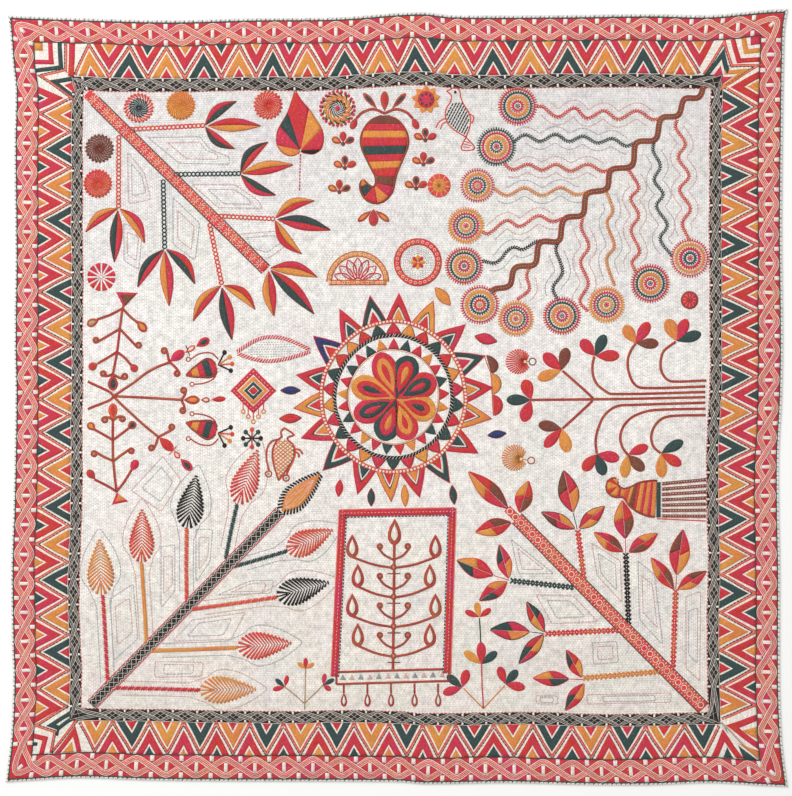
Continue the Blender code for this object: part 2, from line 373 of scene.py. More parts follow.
def finish_mesh(name, vertices, faces, uvs, materials, slots=None):
    """Make an object from points in mm, its faces, UVs per corner and material slots."""
    mesh = bpy.data.meshes.new(name)
    mesh.from_pydata(np.asarray(vertices) * MM, [], faces)
    mesh.uv_layers.new(name="stitch_mm").uv.foreach_set("vector", np.asarray(uvs, np.float32).ravel())
    for material in materials:
        mesh.materials.append(material)
    if slots is not None:
        mesh.polygons.foreach_set("material_index", np.asarray(slots, np.int32))
    mesh.shade_smooth()
    thing = bpy.data.objects.new(name, mesh)
    bpy.context.scene.collection.objects.link(thing)
    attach(thing, "root")
    return thing


def side_uv(x, y, side_of):
    """Millimetres along the nearest side and away from it."""
    along = np.choose(side_of, (y, -x, -y, x))
    away = np.choose(side_of, (HALF_SIDE - x, HALF_SIDE - y, HALF_SIDE + x, HALF_SIDE + y))
    return np.stack((along, away), axis=-1)


def make_cloth():
    """The quilted cloth as one closed sheet."""
    inner = np.linspace(-HALF_SIDE + HEM_LINES[-1], HALF_SIDE - HEM_LINES[-1], GRID_STEPS + 1)
    edge = np.array(HEM_LINES[:-1]) - HALF_SIDE
    lines = np.concatenate((edge, inner, -edge[::-1]))
    n = len(lines)
    x, y = (a.ravel() for a in np.meshgrid(lines, lines))
    laid_x, laid_y = lay(x, y)
    top = np.stack((laid_x - MIDDLE[0], laid_y - MIDDLE[1], height(x, y)), axis=1)
    grid = np.arange(n * n).reshape(n, n)
    quads = np.stack((grid[:-1, :-1], grid[:-1, 1:], grid[1:, 1:], grid[1:, :-1]), axis=-1).reshape(-1, 4)

    loop = np.concatenate((grid[0, :-1], grid[:-1, -1], grid[-1, :0:-1], grid[:0:-1, 0]))
    inset_x, inset_y = (np.clip(a[loop], UNDERSIDE_INSET - HALF_SIDE, HALF_SIDE - UNDERSIDE_INSET) for a in (x, y))
    under_x, under_y = lay(inset_x, inset_y)
    under = np.stack((under_x - MIDDLE[0], under_y - MIDDLE[1], np.zeros(len(loop))), axis=1)
    below = np.arange(len(loop)) + n * n
    after = np.roll(np.arange(len(loop)), -1)
    skirt = np.stack((below, below[after], loop[after], loop), axis=-1)
    vertices = np.concatenate((top, under))
    faces = [*quads.tolist(), *skirt.tolist(), below[::-1].tolist()]

    flat_x, flat_y = np.concatenate((x, inset_x)), np.concatenate((y, inset_y))
    corner_of = np.repeat(np.arange(len(faces)), [len(f) for f in faces])
    corners = np.concatenate((quads.ravel(), skirt.ravel(), below[::-1]))
    sizes = np.bincount(corner_of)
    mean_x = np.bincount(corner_of, flat_x[corners]) / sizes
    mean_y = np.bincount(corner_of, flat_y[corners]) / sizes
    away = np.stack((HALF_SIDE - mean_x, HALF_SIDE - mean_y, HALF_SIDE + mean_x, HALF_SIDE + mean_y))
    side_of = away.argmin(axis=0)[corner_of]
    uvs = side_uv(flat_x[corners], flat_y[corners], side_of)
    return finish_mesh("quilted_cloth", vertices, faces, uvs, [COTTON])


cloth = make_cloth()
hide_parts("kantha")
print("cloth:", len(cloth.data.polygons), "faces")

# %% [markdown]
# Embroidery lies on the cloth as low ridges of thread. Every motif below is put together from one
# kind of closed shell: two edges drawn in flat millimetres, joined across by a low rounded section
# and closed underneath. A `Stitching` gathers such shells in many colours and makes one mesh of
# them, laid on the cloth by the same two functions as the cloth itself.

# %% The stitching tool
ROUND = (0.0, 1.0, 0.0)  # shares of the height across one thread
FILLED = "filled"  # the same across rows of stitches side by side: flat, with low shoulders
SHOULDER = 0.4  # mm, how far from its edge a filled shape reaches its height
ROW_STEP = 4.5  # mm at most between points across a filled shape, so that it follows the cloth
SUNK = -0.3  # mm: stitches start under the cloth's surface
FILL, OVER, LINE = 0.5, 0.8, 1.0  # mm: the heights of three layers of thread


def unit(vectors):
    """Vectors scaled to length 1."""
    return vectors / np.maximum(np.linalg.norm(vectors, axis=-1, keepdims=True), 1e-9)


def edges(path, width, closed=False):
    """The left and right edge of a strip of the given width along a path, mitred at corners."""
    path = np.asarray(path, float)
    if closed:
        before, after = np.roll(path, 1, 0), np.roll(path, -1, 0)
    else:
        before = np.vstack((2 * path[0] - path[1], path[:-1]))
        after = np.vstack((path[1:], 2 * path[-1] - path[-2]))
    first, second = unit(path - before), unit(after - path)
    normals = unit(first + second) @ np.array(((0, 1), (-1, 0)))
    turn = np.abs(np.sum(normals * (second @ np.array(((0, 1), (-1, 0)))), axis=1))
    half = np.broadcast_to(np.asarray(width, float) / 2, len(path)) / np.maximum(turn, 0.4)
    return path + normals * half[:, None], path - normals * half[:, None]


class Stitching:
    """One part of the embroidery: closed shells of thread, drawn flat, then laid on the cloth.

    Measured stitching is drawn where it lies on the real cloth and isn't laid a second time.
    """

    def __init__(self, name, measured=False):
        self.name, self.measured = name, measured
        self.flat, self.lifts, self.uvs = [], [], []
        self.quads, self.quad_slots, self.caps, self.cap_slots = [], [], [], []
        self.count = 0
        self.threads = []

    def shell(self, left, right, thread, top=FILL, base=SUNK, section=FILLED, closed=False):
        """A closed low shell between two edges with as many points each."""
        left, right = np.asarray(left, float), np.asarray(right, float)
        middle = (left + right) / 2
        ahead, aside = np.diff(middle, axis=0), (right - left)[:-1]
        if np.sum(ahead[:, 0] * aside[:, 1] - ahead[:, 1] * aside[:, 0]) > 0:
            left, right = right, left
        if thread not in self.threads:
            self.threads.append(thread)
        slot = self.threads.index(thread)
        width = np.linalg.norm(right - left, axis=1)
        if section == FILLED:
            between = max(1, math.ceil(width.max() / ROW_STEP) - 1)
            section = (0.0, 0.92, *[1.0] * between, 0.92, 0.0)
        n, m, shares = len(left), len(section), np.array(section)
        places = np.tile(np.linspace(0.0, 1.0, m), (n, 1))
        if m > len(ROUND):
            shoulder = np.minimum(SHOULDER / np.maximum(width, 0.1), 0.3)[:, None]
            places[:, 1:-1] = shoulder + (1 - 2 * shoulder) * np.linspace(0.0, 1.0, m - 2)
        points = left[:, None] + (right - left)[:, None] * places[:, :, None]
        run = np.concatenate(((0.0,), np.cumsum(np.linalg.norm(ahead, axis=1))))
        self.flat.append(points.reshape(-1, 2))
        top, base = (np.broadcast_to(np.asarray(a, float), n)[:, None] for a in (top, base))
        self.lifts.append((base + (top - base) * shares).ravel())
        uv = np.empty((n, m, 2))
        uv[:, :, 0] = run[:, None] + self.count * 0.37
        uv[:, :, 1] = width[:, None] * (places - 0.5) + self.count * 0.11
        self.uvs.append(uv.reshape(-1, 2))
        index = self.count + np.arange(n * m).reshape(n, m)
        here, there = (index, np.roll(index, -1, 0)) if closed else (index[:-1], index[1:])
        roof = np.stack((here[:, :-1], here[:, 1:], there[:, 1:], there[:, :-1]), axis=-1).reshape(-1, 4)
        floor = np.stack((here[:, -1], here[:, 0], there[:, 0], there[:, -1]), axis=-1)
        self.quads += [roof, floor]
        self.quad_slots.append(np.full(len(roof) + len(floor), slot))
        if not closed:
            self.caps += [index[0, ::-1].tolist(), index[-1].tolist()]
            self.cap_slots += [slot, slot]
        self.count += n * m

    def strip(self, path, width, thread, top=FILL, base=SUNK, section=FILLED, closed=False):
        """A strip of thread along a path."""
        self.shell(*edges(path, width, closed), thread, top, base, section, closed)

    def line(self, path, width, thread, top=LINE, base=SUNK, closed=False):
        """A single thread along a path."""
        self.strip(path, width, thread, top, base, ROUND, closed)

    def finish(self):
        """Make one mesh of all the shells, laid on the cloth."""
        flat, lifts, uvs = np.concatenate(self.flat), np.concatenate(self.lifts), np.concatenate(self.uvs)
        if self.measured:
            (x, y), (u, v) = flat.T, unlay(*flat.T)
        else:
            (x, y), (u, v) = lay(*flat.T), flat.T
        z = np.maximum(height(u, v) + lifts, 0.2)
        vertices = np.stack((x - MIDDLE[0], y - MIDDLE[1], z), axis=1)
        quads = np.concatenate(self.quads)
        faces = [*quads.tolist(), *self.caps]
        corners = np.concatenate((quads.ravel(), *map(np.array, self.caps))) if self.caps else quads.ravel()
        slots = np.concatenate((*self.quad_slots, np.array(self.cap_slots, int)))
        thing = finish_mesh(self.name, vertices, faces, uvs[corners], [DYED[t] for t in self.threads], slots)
        triangles = 2 * len(quads) + sum(len(cap) - 2 for cap in self.caps)
        print(f"{self.name}: {triangles} triangles, {len(self.threads)} threads")


# %% [markdown]
# Paths are drawn with a few helpers: even points along a straight or bent line, a smooth curve
# through a few given points, arcs and circles. Threads never end as sharp points, so a
# tapered shape keeps a small width at its tips.

# %% Drawing helpers


def polar(centre, radius, degrees):
    """A point at a radius and a clockwise angle from straight up."""
    angle = np.radians(degrees)
    return np.stack((centre[0] + radius * np.sin(angle), centre[1] + radius * np.cos(angle)), axis=-1)


def arc(centre, radius, start, end, count):
    """Points along an arc, with angles clockwise from straight up."""
    return polar(centre, radius, np.linspace(start, end, count))


def circle(centre, radius, count):
    """Points round a whole circle."""
    return polar(centre, radius, np.arange(count) * 360.0 / count)


def evenly(path, step):
    """The same path with points at even steps of about the given length."""
    path = np.asarray(path, float)
    run = np.concatenate(((0.0,), np.cumsum(np.linalg.norm(np.diff(path, axis=0), axis=1))))
    places = np.linspace(0, run[-1], max(2, round(run[-1] / step) + 1))
    return np.stack([np.interp(places, run, path[:, k]) for k in (0, 1)], axis=1)


def curve(points, step=3.0):
    """A smooth path through a few given points."""
    points = np.asarray(points, float)
    run = np.concatenate(((0.0,), np.cumsum(np.linalg.norm(np.diff(points, axis=0), axis=1))))
    fine = np.linspace(0, run[-1], max(8, int(run[-1] / step) * 4))
    return evenly(np.stack([read_curve(np.stack((run, points[:, k]), 1), fine) for k in (0, 1)], axis=1), step)


def along_path(path, places):
    """Points at shares of the way along a path's own points."""
    steps = np.linspace(0, 1, len(path))
    return np.stack([np.interp(places, steps, path[:, k]) for k in (0, 1)], axis=1)


def inside(points, outline):
    """Which points lie inside a closed outline."""
    (x, y), outline = np.asarray(points, float).T[:, :, None], np.asarray(outline, float)
    (x0, y0), (x1, y1) = outline.T, np.roll(outline, -1, 0).T
    crosses = (y0 > y) != (y1 > y)
    reach = x0 + (y - y0) * (x1 - x0) / np.where(y1 == y0, 1e-9, y1 - y0)
    return np.sum(crosses & (x < reach), axis=1) % 2 == 1


def hatch(outline, angle, spacing, margin=0.0):
    """Parallel lines at an angle, cut to the part of each that lies inside an outline."""
    outline = np.asarray(outline, float)
    middle = outline.mean(axis=0)
    along = np.array((math.cos(math.radians(angle)), math.sin(math.radians(angle))))
    aside = np.array((-along[1], along[0]))
    reach = np.abs(outline - middle).max() * 1.5
    shrunk = middle + (outline - middle) * (1 - margin)
    for offset in np.arange(-reach, reach, spacing):
        line = evenly((middle + aside * offset - along * reach, middle + aside * offset + along * reach), 0.8)
        line = line[inside(line, shrunk)]
        if len(line) > 3:
            yield evenly(line, 3.0)


def toward(a, b, share):
    """The point at a share of the way from a to b."""
    a, b = np.asarray(a, float), np.asarray(b, float)
    return a + (b - a) * np.asarray(share, float)[..., None]


# %% [markdown]
# The border is drawn in band coordinates: how far along a side, as a share of it, and how deep
# from the hem, as a share of that band. The four sides differ by a few millimetres, so each band
# has its own depths on each side. Depth is square to the side, and only within half a lozenge of a
# corner does the mapping lean over to meet the next side on the diagonal.

# %% Band coordinates
BANDS = {  # depths from the hem in mm on the right, top, left and bottom side
    "hem": (0.0, 0.0, 0.0, 0.0),
    "rim": (3.3, 4.2, 3.0, 2.9),
    "lozenge": (26.3, 28.0, 25.4, 28.0),
    "zigzag": (65.7, 64.0, 61.5, 63.4),
    "dark": (78.7, 79.2, 74.2, 76.8),
}
SIDES = ("right", "top", "left", "bottom")
CHAINS = {  # lozenges a side, and the shares of the side at its first and its last crossing
    "lozenge": ((25, 0.036, 0.978), (24, 0.026, 0.975), (25, 0.0145, 0.968), (26, 0.017, 0.988)),
    "dark": ((23, 0.05, 0.974), (24, 0.040, 0.988), (25, 0.018, 0.985), (26, 0.039, 0.981)),
}


def band_corners(outer, inner, depth):
    """The four corners of the square line at a depth, a share of the way from one band line to the next."""
    right, top, left, bottom = (a + (b - a) * depth for a, b in zip(BANDS[outer], BANDS[inner]))
    east, north, west, south = HALF_SIDE - right, HALF_SIDE - top, left - HALF_SIDE, bottom - HALF_SIDE
    return np.array(((east, south), (east, north), (west, north), (west, south), (east, south)))


def band_point(outer, inner, around, depth):
    """Points in a band: around runs 0 to 4 anticlockwise from the lower right corner."""
    around, depth = np.broadcast_arrays(np.asarray(around, float), np.asarray(depth, float))
    wrapped = around % 4
    side_of = np.minimum(wrapped.astype(int), 3)
    share, depth = (wrapped - side_of)[..., None], depth[..., None]
    outside, middle, inside = (band_corners(outer, inner, d) for d in (0.0, 0.5, 1.0))
    starts = outside[side_of] + (inside[side_of] - outside[side_of]) * depth - middle[side_of]
    ends = outside[side_of + 1] + (inside[side_of + 1] - outside[side_of + 1]) * depth - middle[side_of + 1]
    ahead = unit(middle[side_of + 1] - middle[side_of])
    slips = (np.sum(a * ahead, axis=-1, keepdims=True) for a in (starts, ends))
    sideways = starts - ahead * np.sum(starts * ahead, axis=-1, keepdims=True)
    mitres = (1 - ease(48 * s) for s in (share, 1 - share))
    slip = sum(a * b for a, b in zip(slips, mitres))
    return middle[side_of] + (middle[side_of + 1] - middle[side_of]) * share + sideways + ahead * slip


def chain_place(band, turn):
    """Where round the cloth a chain's lozenges lie: whole turns are their middles, halves are crossings."""
    knots = [(-0.5, CHAINS[band][3][2] - 1)]
    for side, (count, first, last) in enumerate(CHAINS[band]):
        start = knots[-1][0] + 0.5
        knots += [(start, side)]
        knots += [(start + 0.5 + k, side + first + (last - first) * k / (count - 1)) for k in range(count)]
    turns, places = np.array(knots + [(knots[-1][0] + 0.5, 4.0)]).T
    return np.interp(np.asarray(turn, float) % turns[-1], turns, places)


def square_line(outer, inner, depth, step=6.0):
    """A closed line of points round the cloth at a depth in a band, with points on the corners."""
    per_side = int(2 * HALF_SIDE / step)
    return band_point(outer, inner, np.arange(4 * per_side) / per_side, depth)


# %% [markdown]
# The outer band is a chain of lozenges. Two salmon strands weave over each other from crossing to
# crossing on a crimson ground, each edged and filled with fine lines, and every lozenge and every
# crossing has short white bars. A side has 24 to 26 lozenges, and one bends round each corner.

# %% The lozenge chain


WEAVE = 0.25  # mm that a strand rises where it goes over the other, and dips where it goes under


def strand(turn, sign, reach):
    """The depth of a strand's middle in its band: it crosses the other at half turns and is flat at whole ones."""
    swing = np.arcsin(0.995 * np.sin(math.pi * (turn + 0.5))) * 2 / math.pi
    return 0.5 + sign * reach * np.clip(1.14 * swing, -1, 1)


def rounded(path, around, reach):
    """The same closed path with its four corners rounded off, by averaging over points near them."""
    near = 1 - ease(24 * np.abs(around - np.round(around)) - 0.1)[:, None]
    soft = sum(np.roll(path, k, 0) for k in range(-reach, reach + 1)) / (2 * reach + 1)
    return path + (soft - path) * near


def chain_strands(work, outer, inner, reach, width, ground, lines, steps=10):
    """Both strands of a chain band all the way round: a ground strip and fine lines along it."""
    turn = np.arange(sum(side[0] for side in CHAINS[inner]) * steps) / steps
    around = chain_place(inner, turn)
    for sign in (1, -1):
        path = rounded(band_point(outer, inner, around, strand(turn, sign, reach)), around, steps // 5)
        over = WEAVE * sign * np.sin(math.pi * turn)
        work.strip(path, width, ground, 0.6 + over, 0.1, closed=True)
        left, right = edges(path, 1.0, True)
        for offset, thread, thick in lines:
            work.line(path + (left - right) * offset, thick, thread, LINE + over, 0.2 + over, closed=True)


def bar(work, outer, inner, around, depths, width, thread, top=OVER):
    """A short straight bar across a band."""
    path = band_point(outer, inner, around, np.array(depths))
    work.strip(evenly(path, 3.0), width, thread, top)


lozenge_band = Stitching("border_lozenge_band")
lozenge_band.shell(square_line("rim", "lozenge", 0.0, 5.0), square_line("rim", "lozenge", 1.0, 5.0), "crimson", 0.35, closed=True)
chain_strands(lozenge_band, "rim", "lozenge", 0.365, 5.0, "vermilion", (
    (-2.5, "white", 1.3), (-0.85, "blush", 1.0), (0.85, "blush", 1.0), (2.5, "white", 1.3),
))
for k in range(sum(side[0] for side in CHAINS["lozenge"])):
    centre, crossing = chain_place("lozenge", (k, k + 0.5))
    bar(lozenge_band, "rim", "lozenge", centre, (0.30, 0.70) if centre % 1 else (0.40, 0.60), 4.2, "white")
    bar(lozenge_band, "rim", "lozenge", crossing, (0.02, 0.26), 4.8, "white")
    bar(lozenge_band, "rim", "lozenge", crossing, (0.74, 0.98), 4.8, "white")
lozenge_band.finish()

# %% [markdown]
# The hem is turned in and whipped: short slanted stitches of grey and dark green thread go over
# the edge all the way round. They're drawn as small bars across the rim, one every 2.4 mm.

# %% The whipped hem
WHIP_PITCH = 2.4  # mm
hem_whipping = Stitching("hem_whipping")
whips = int(8 * HALF_SIDE / WHIP_PITCH)
for k in range(whips):
    start = band_point("hem", "rim", 4 * k / whips, 0.22)
    end = band_point("hem", "rim", 4 * (k + 0.42) / whips, 0.86)
    hem_whipping.line(np.stack((start, toward(start, end, 0.5), end)), 1.9, ("grey", "white", "black", "white")[k % 4], 0.35)
hem_whipping.line(square_line("hem", "rim", 0.9, 5.0), 2.8, "green", 0.5, closed=True)
hem_whipping.finish()

# %% [markdown]
# The innermost band repeats the chain on a smaller scale in black and white, with four small black
# diamonds in each lozenge. The strands are black with three fine white lines, the ground between
# them is black, and a white tick divides the black triangles at every crossing. A red running
# stitch closes the border on the inside.

# %% The small dark chain
dark_band = Stitching("border_dark_band")
dark_band.shell(square_line("zigzag", "dark", 0.03), square_line("zigzag", "dark", 0.97), "black", 0.3, closed=True)
chain_strands(dark_band, "zigzag", "dark", 0.34, 4.2, "black", (
    (-1.5, "white", 0.8), (0.0, "white", 0.7), (1.5, "white", 0.8),
))
for k in range(sum(side[0] for side in CHAINS["dark"])):
    west, middle, east = chain_place("dark", (k - 0.28, k, k + 0.28))
    near, far = (band_point("zigzag", "dark", middle, depth) for depth in (0.13, 0.87))
    start, end = (band_point("zigzag", "dark", place, 0.5) for place in (west, east))
    sides = [
        np.vstack((toward(start, tip, np.arange(4) / 4), toward(tip, end, np.arange(5) / 4)))
        for tip in (near, far)
    ]
    dark_band.shell(*sides, "black", 1.0)
    for side in sides:
        dark_band.line(side, 1.0, "white", 1.35)
    for a, b in ((near, far), (far, near)):
        dark_band.line(evenly((toward(start, a, 0.5), toward(b, end, 0.5)), 3.0), 1.25, "white", 1.35)
    for depths in ((0.04, 0.26), (0.74, 0.96)):
        bar(dark_band, "zigzag", "dark", chain_place("dark", k + 0.5), depths, 2.6, "white")
dashes = square_line("dark", "dark", 0.0, 1.0)
RED_STITCH, RED_GAP = 3, 2  # mm
for k in range(0, len(dashes) - RED_STITCH, RED_STITCH + RED_GAP):
    dark_band.line(dashes[k:k + RED_STITCH + 1], 1.7, "vermilion", FILL)
dark_band.finish()

# %% [markdown]
# Between them runs the broad zigzag on a white ground. A zigzag line of two rows of thread leaves triangles on
# both sides of it. Those that point outward hold an ochre or a green chevron in turn and a small
# red triangle, and those that point inward hold a crimson chevron and a small ochre or green one.
# All of these are triangles set in from other triangles, so one function insets a triangle's legs
# and leaves its base on its line.

# %% Triangles and chevrons


def inset(triangle, distance):
    """Set a triangle's two legs in by a distance, with its base staying on its line."""
    left, apex, right = np.asarray(triangle, float)
    base, up, down = unit(right - left), unit(apex - left), unit(apex - right)
    at_left = math.sqrt(max(1 - float(base @ up) ** 2, 0.01))
    at_right = math.sqrt(max(1 - float(base @ down) ** 2, 0.01))
    inward = -(up + down)
    half = math.sqrt(max((1 - float(up @ down)) / 2, 0.01))
    return np.array((
        left + base * distance / at_left, apex + unit(inward) * distance / half, right - base * distance / at_right,
    ))


def leg(triangle, foot, shares, bulge):
    """Points down one leg of a triangle from its apex; the leg can bulge outward in its middle."""
    apex, middle = np.asarray(triangle[1], float), np.mean(triangle, axis=0)
    arch = bulge * np.sin(math.pi * shares)[:, None] * unit((apex + triangle[foot]) / 2 - middle)
    return toward(apex, triangle[foot], shares) + arch


def chevron(work, triangle, outside, inside, thread, top=FILL, bulge=0.0):
    """A chevron between two insets of a triangle."""
    shares = np.linspace(0, 1, 6)
    sides = []
    for triangle in (inset(triangle, outside), inset(triangle, inside)):
        sides.append(np.vstack((leg(triangle, 0, shares, bulge)[::-1], leg(triangle, 2, shares, bulge)[1:])))
    work.shell(*sides, thread, top)


def small_triangle(work, triangle, distance, thread, top=FILL, bulge=0.0):
    """A filled triangle at an inset of a triangle."""
    shares, triangle = np.linspace(0.04, 1.0, 6), inset(triangle, distance)
    work.shell(leg(triangle, 0, shares, bulge), leg(triangle, 2, shares, bulge), thread, top)


# %% [markdown]
# The four sides were sewn freehand, so their points aren't evenly spaced. Each table gives where
# the outward points of a side's zigzag lie, and the two places where it leaves the corners. The
# corners themselves are different and follow below.

# %% The zigzag band
ZIGZAG = {  # outward points along a side in mm, the ends on the inner edge, and the ones the corners complete
    "top": (
        (-334, -290, -250, -210, -171, -135, -98, -57, -18, 18, 62, 103, 144, 184, 225, 266, 306, 347), (-349, 372), (17,),
    ),
    "bottom": (
        (-328, -288, -249, -214, -178, -142, -105, -66, -28, 10, 44, 82, 126, 167, 210, 248, 289, 332), (-344, 348), (),
    ),
    "left": (
        (342, 309, 270, 231, 194, 152, 116, 77, 40, 0, -36, -76, -117, -157, -196, -236, -274, -313, -355), (352, -372), (0, 18),
    ),
    "right": (
        (359, 316, 275, 242, 206, 167, 130, 95, 59, 24, -15, -54, -92, -130, -170, -210, -252, -292, -331), (372, -346), (0,),
    ),
}
FIRST = {"top": "ochre", "bottom": "ochre", "left": "green", "right": "ochre"}
OTHER = {"ochre": "green", "green": "ochre"}
ZIGZAG_LINE = 4.0  # mm wide
ZIGZAG_GAP = 1.2  # mm of ground between the line and a chevron
CHEVRON = 7.5  # mm wide


def side_point(side, along, share):
    """A point of the zigzag band: measured mm along a side, and the share of the way in across it."""
    k = SIDES.index(side)
    depth = BANDS["lozenge"][k] + (BANDS["zigzag"][k] - BANDS["lozenge"][k]) * share
    point = np.array({
        "right": (HALF_SIDE - depth, along), "top": (along, HALF_SIDE - depth),
        "left": (depth - HALF_SIDE, along), "bottom": (along, depth - HALF_SIDE),
    }[side], float)
    axis = 0 if side in ("top", "bottom") else 1
    for _ in range(3):
        point[axis] += along - lay(*point)[axis]
    return point


def zigzag_line(work, path):
    """The two rows of thread of the zigzag."""
    path = np.asarray(path, float)
    path = np.vstack([toward(a, b, np.arange(5) / 5) for a, b in zip(path[:-1], path[1:])] + [path[-1:]])
    work.strip(path, ZIGZAG_LINE, "salmon", 0.35)
    left, right = edges(path, 1.0)
    work.line(path + (left - right), 2.7, "vermilion", OVER)
    row = evenly(path - (left - right), 1.0)
    for k in range(0, len(row) - 3, 4):
        work.line(row[[k, k + 3]], 2.6, "green", OVER)


zigzag_band = Stitching("border_zigzag_band")
zigzag_band.shell(square_line("lozenge", "zigzag", 0.01), square_line("lozenge", "zigzag", 0.99), "white", 0.2, closed=True)
FIRST_GAP = ZIGZAG_LINE / 2 + ZIGZAG_GAP
SECOND_GAP = FIRST_GAP + CHEVRON + ZIGZAG_GAP
for side_name, (outward, ends, left_out) in ZIGZAG.items():
    inward = [ends[0], *((a + b) / 2 for a, b in zip(outward[:-1], outward[1:])), ends[1]]
    path = []
    for k, along in enumerate(outward):
        thread = FIRST[side_name] if k % 2 == 0 else OTHER[FIRST[side_name]]
        if k not in left_out:
            path += [side_point(side_name, inward[k], 0.97), side_point(side_name, along, 0.05)]
            point = [side_point(side_name, a, s) for a, s in ((inward[k], 1.0), (along, 0.03), (inward[k + 1], 1.0))]
            chevron(zigzag_band, point, FIRST_GAP, FIRST_GAP + CHEVRON, thread)
            small_triangle(zigzag_band, point, SECOND_GAP, "crimson")
            last_end = side_point(side_name, inward[k + 1], 0.97)
        if k:
            last = outward[k - 1]
            point = [side_point(side_name, a, s) for a, s in ((last, 0.0), (inward[k], 0.98), (along, 0.0))]
            chevron(zigzag_band, point, FIRST_GAP, FIRST_GAP + CHEVRON, "crimson")
            small_triangle(zigzag_band, point, SECOND_GAP, OTHER[thread])
    path.append(last_end)
    zigzag_line(zigzag_band, path[::-1] if side_name in ("top", "left") else path)

# %% [markdown]
# At the corners the zigzag turns in nested L shapes, and at the lower right it runs out along the
# diagonal. Positions here are in mm from the band's outer corner: the first along the top or
# bottom side, the second along the left or right side, both inward.

# %% The zigzag's corners
CORNERS = {"upper left": (-1, 1), "upper right": (1, 1), "lower left": (-1, -1), "lower right": (1, -1)}


def corner_points(corner, points):
    """Points given in mm from an outer corner of the zigzag band."""
    across, up = CORNERS[corner]
    x = BANDS["lozenge"][SIDES.index("left" if across < 0 else "right")]
    y = BANDS["lozenge"][SIDES.index("top" if up > 0 else "bottom")]
    points = np.asarray(points, float)
    return np.stack((across * (HALF_SIDE - x - points[:, 0]), up * (HALF_SIDE - y - points[:, 1])), axis=1)


CORNER_STRIPS = (  # corner, thread, width in mm, path
    ("upper left", "ochre", 9.0, ((0.5, 5), (9.5, 5))),
    ("upper left", "crimson", 5.6, ((17.8, 0.5), (17.8, 21), (0.5, 21.5))),
    ("upper left", "green", 5.2, ((28, 0.5), (27.2, 26.5), (0.5, 31))),
    ("upper left", "crimson", 7.0, ((41.2, 0.5), (39.3, 20), (36.9, 36.5))),
    ("upper right", "crimson", 9.5, ((0.5, 5), (11, 5))),
    ("upper right", "ochre", 5.8, ((18.5, 0.5), (15.6, 15.6), (0.5, 15.8))),
    ("upper right", "crimson", 5.8, ((30, 0.5), (23, 25), (0.5, 25.6))),
    ("lower left", "crimson", 6.0, ((0.5, 20.5), (12.6, 17.2), (10.6, 0.5))),
    ("lower left", "green", 4.6, ((0.6, 11.5), (5, 11.5))),
    ("lower left", "green", 5.2, ((43, 48), (17.5, 31.5), (25, 28.5))),
    ("lower left", "green", 5.0, ((24.5, 27), (34, 34.5), (43.5, 41))),
    ("lower left", "green", 3.4, ((25.5, 28), (24.5, 20))),
)
for corner, thread, width, path in CORNER_STRIPS:
    zigzag_band.strip(evenly(corner_points(corner, path), 4.0) if len(path) == 2 else np.vstack([
        toward(a, b, np.arange(4) / 4) for a, b in zip(corner_points(corner, path), corner_points(corner, path)[1:])
    ] + [corner_points(corner, path)[-1:]]), width, thread, FILL)

CORNER_TRIANGLES = (  # corner, thread, inset of a chevron or None for a filled triangle, its three points
    ("upper left", "green", 5.4, ((39.5, 35.5), (11.5, 41.5), (41, 64.5))),
    ("upper left", "crimson", None, ((40, 41), (28, 46), (40.5, 55.5))),
    ("upper right", "green", 5.6, ((61, 37), (38.6, 8.5), (32, 37))),
    ("upper right", "crimson", None, ((51.5, 38.5), (42, 26.5), (39.6, 38.5))),
    ("upper right", "ochre", 5.0, ((38, 33), (8, 34.6), (42, 55.5))),
    ("upper right", "crimson", None, ((41.5, 39.3), (28, 40.6), (41.5, 49.4))),
    ("lower left", "crimson", 6.0, ((23, 1), (43.5, 31.5), (53, 1))),
    ("lower left", "ochre", None, ((31, 1), (41, 14), (44.5, 1))),
    ("lower right", "crimson", 7.2, ((0.5, 49.5), (35, 35.5), (0.5, 11.5))),
    ("lower right", "ochre", None, ((0.8, 36.5), (18.5, 31.4), (0.8, 22.5))),
    ("lower right", "ochre", None, ((0.8, 11.5), (24, 18.5), (0.8, 1.5))),
    ("lower right", "green", None, ((18.5, 0.8), (22.5, 16), (3, 0.8))),
    ("lower right", "crimson", 7.4, ((53.5, 1), (38, 32), (17, 1))),
    ("lower right", "green", None, ((40.5, 1), (34.5, 13.5), (28.5, 1))),
)
for corner, thread, thick, triangle in CORNER_TRIANGLES:
    triangle = corner_points(corner, triangle)
    if thick:
        chevron(zigzag_band, triangle, 0.2, thick, thread)
    else:
        small_triangle(zigzag_band, triangle, 0.2, thread)

zigzag_line(zigzag_band, corner_points("upper left", ((34.6, 1), (31.8, 29), (4, 36.5), (41, 63.5))))
zigzag_line(zigzag_band, corner_points("upper right", ((60, 36), (39, 3), (30.5, 29.5), (2.5, 32), (38.5, 51))))
zigzag_line(zigzag_band, corner_points("lower left", ((20.5, 1.5), (22, 24.5), (2.5, 32), (35, 52.5))))
zigzag_line(zigzag_band, corner_points("lower left", ((20.5, 1.5), (45, 36.5))))
diagonal = corner_points("lower right", ((39, 37.5), (1, 1)))
zigzag_band.line(evenly(diagonal, 5.0), 1.4, "green", OVER)
zigzag_band.line(evenly(diagonal + np.array((0.9, 0.9)), 5.0), 1.2, "salmon", OVER)
zigzag_band.line(square_line("rim", "lozenge", 1.0, 5.0), 2.1, "green", LINE, closed=True)
zigzag_band.finish()

# %% [markdown]
# In the middle lies the lotus. From the outside in it has 18 rays, a ring of red and white
# whipped stitches, large triangles, a black and white rope, small triangles, a thin ring and
# eight petals. The rays and petals are chevrons and drops nested in each other. The angles below
# run clockwise from straight up.

# %% Leaves, drops and ropes


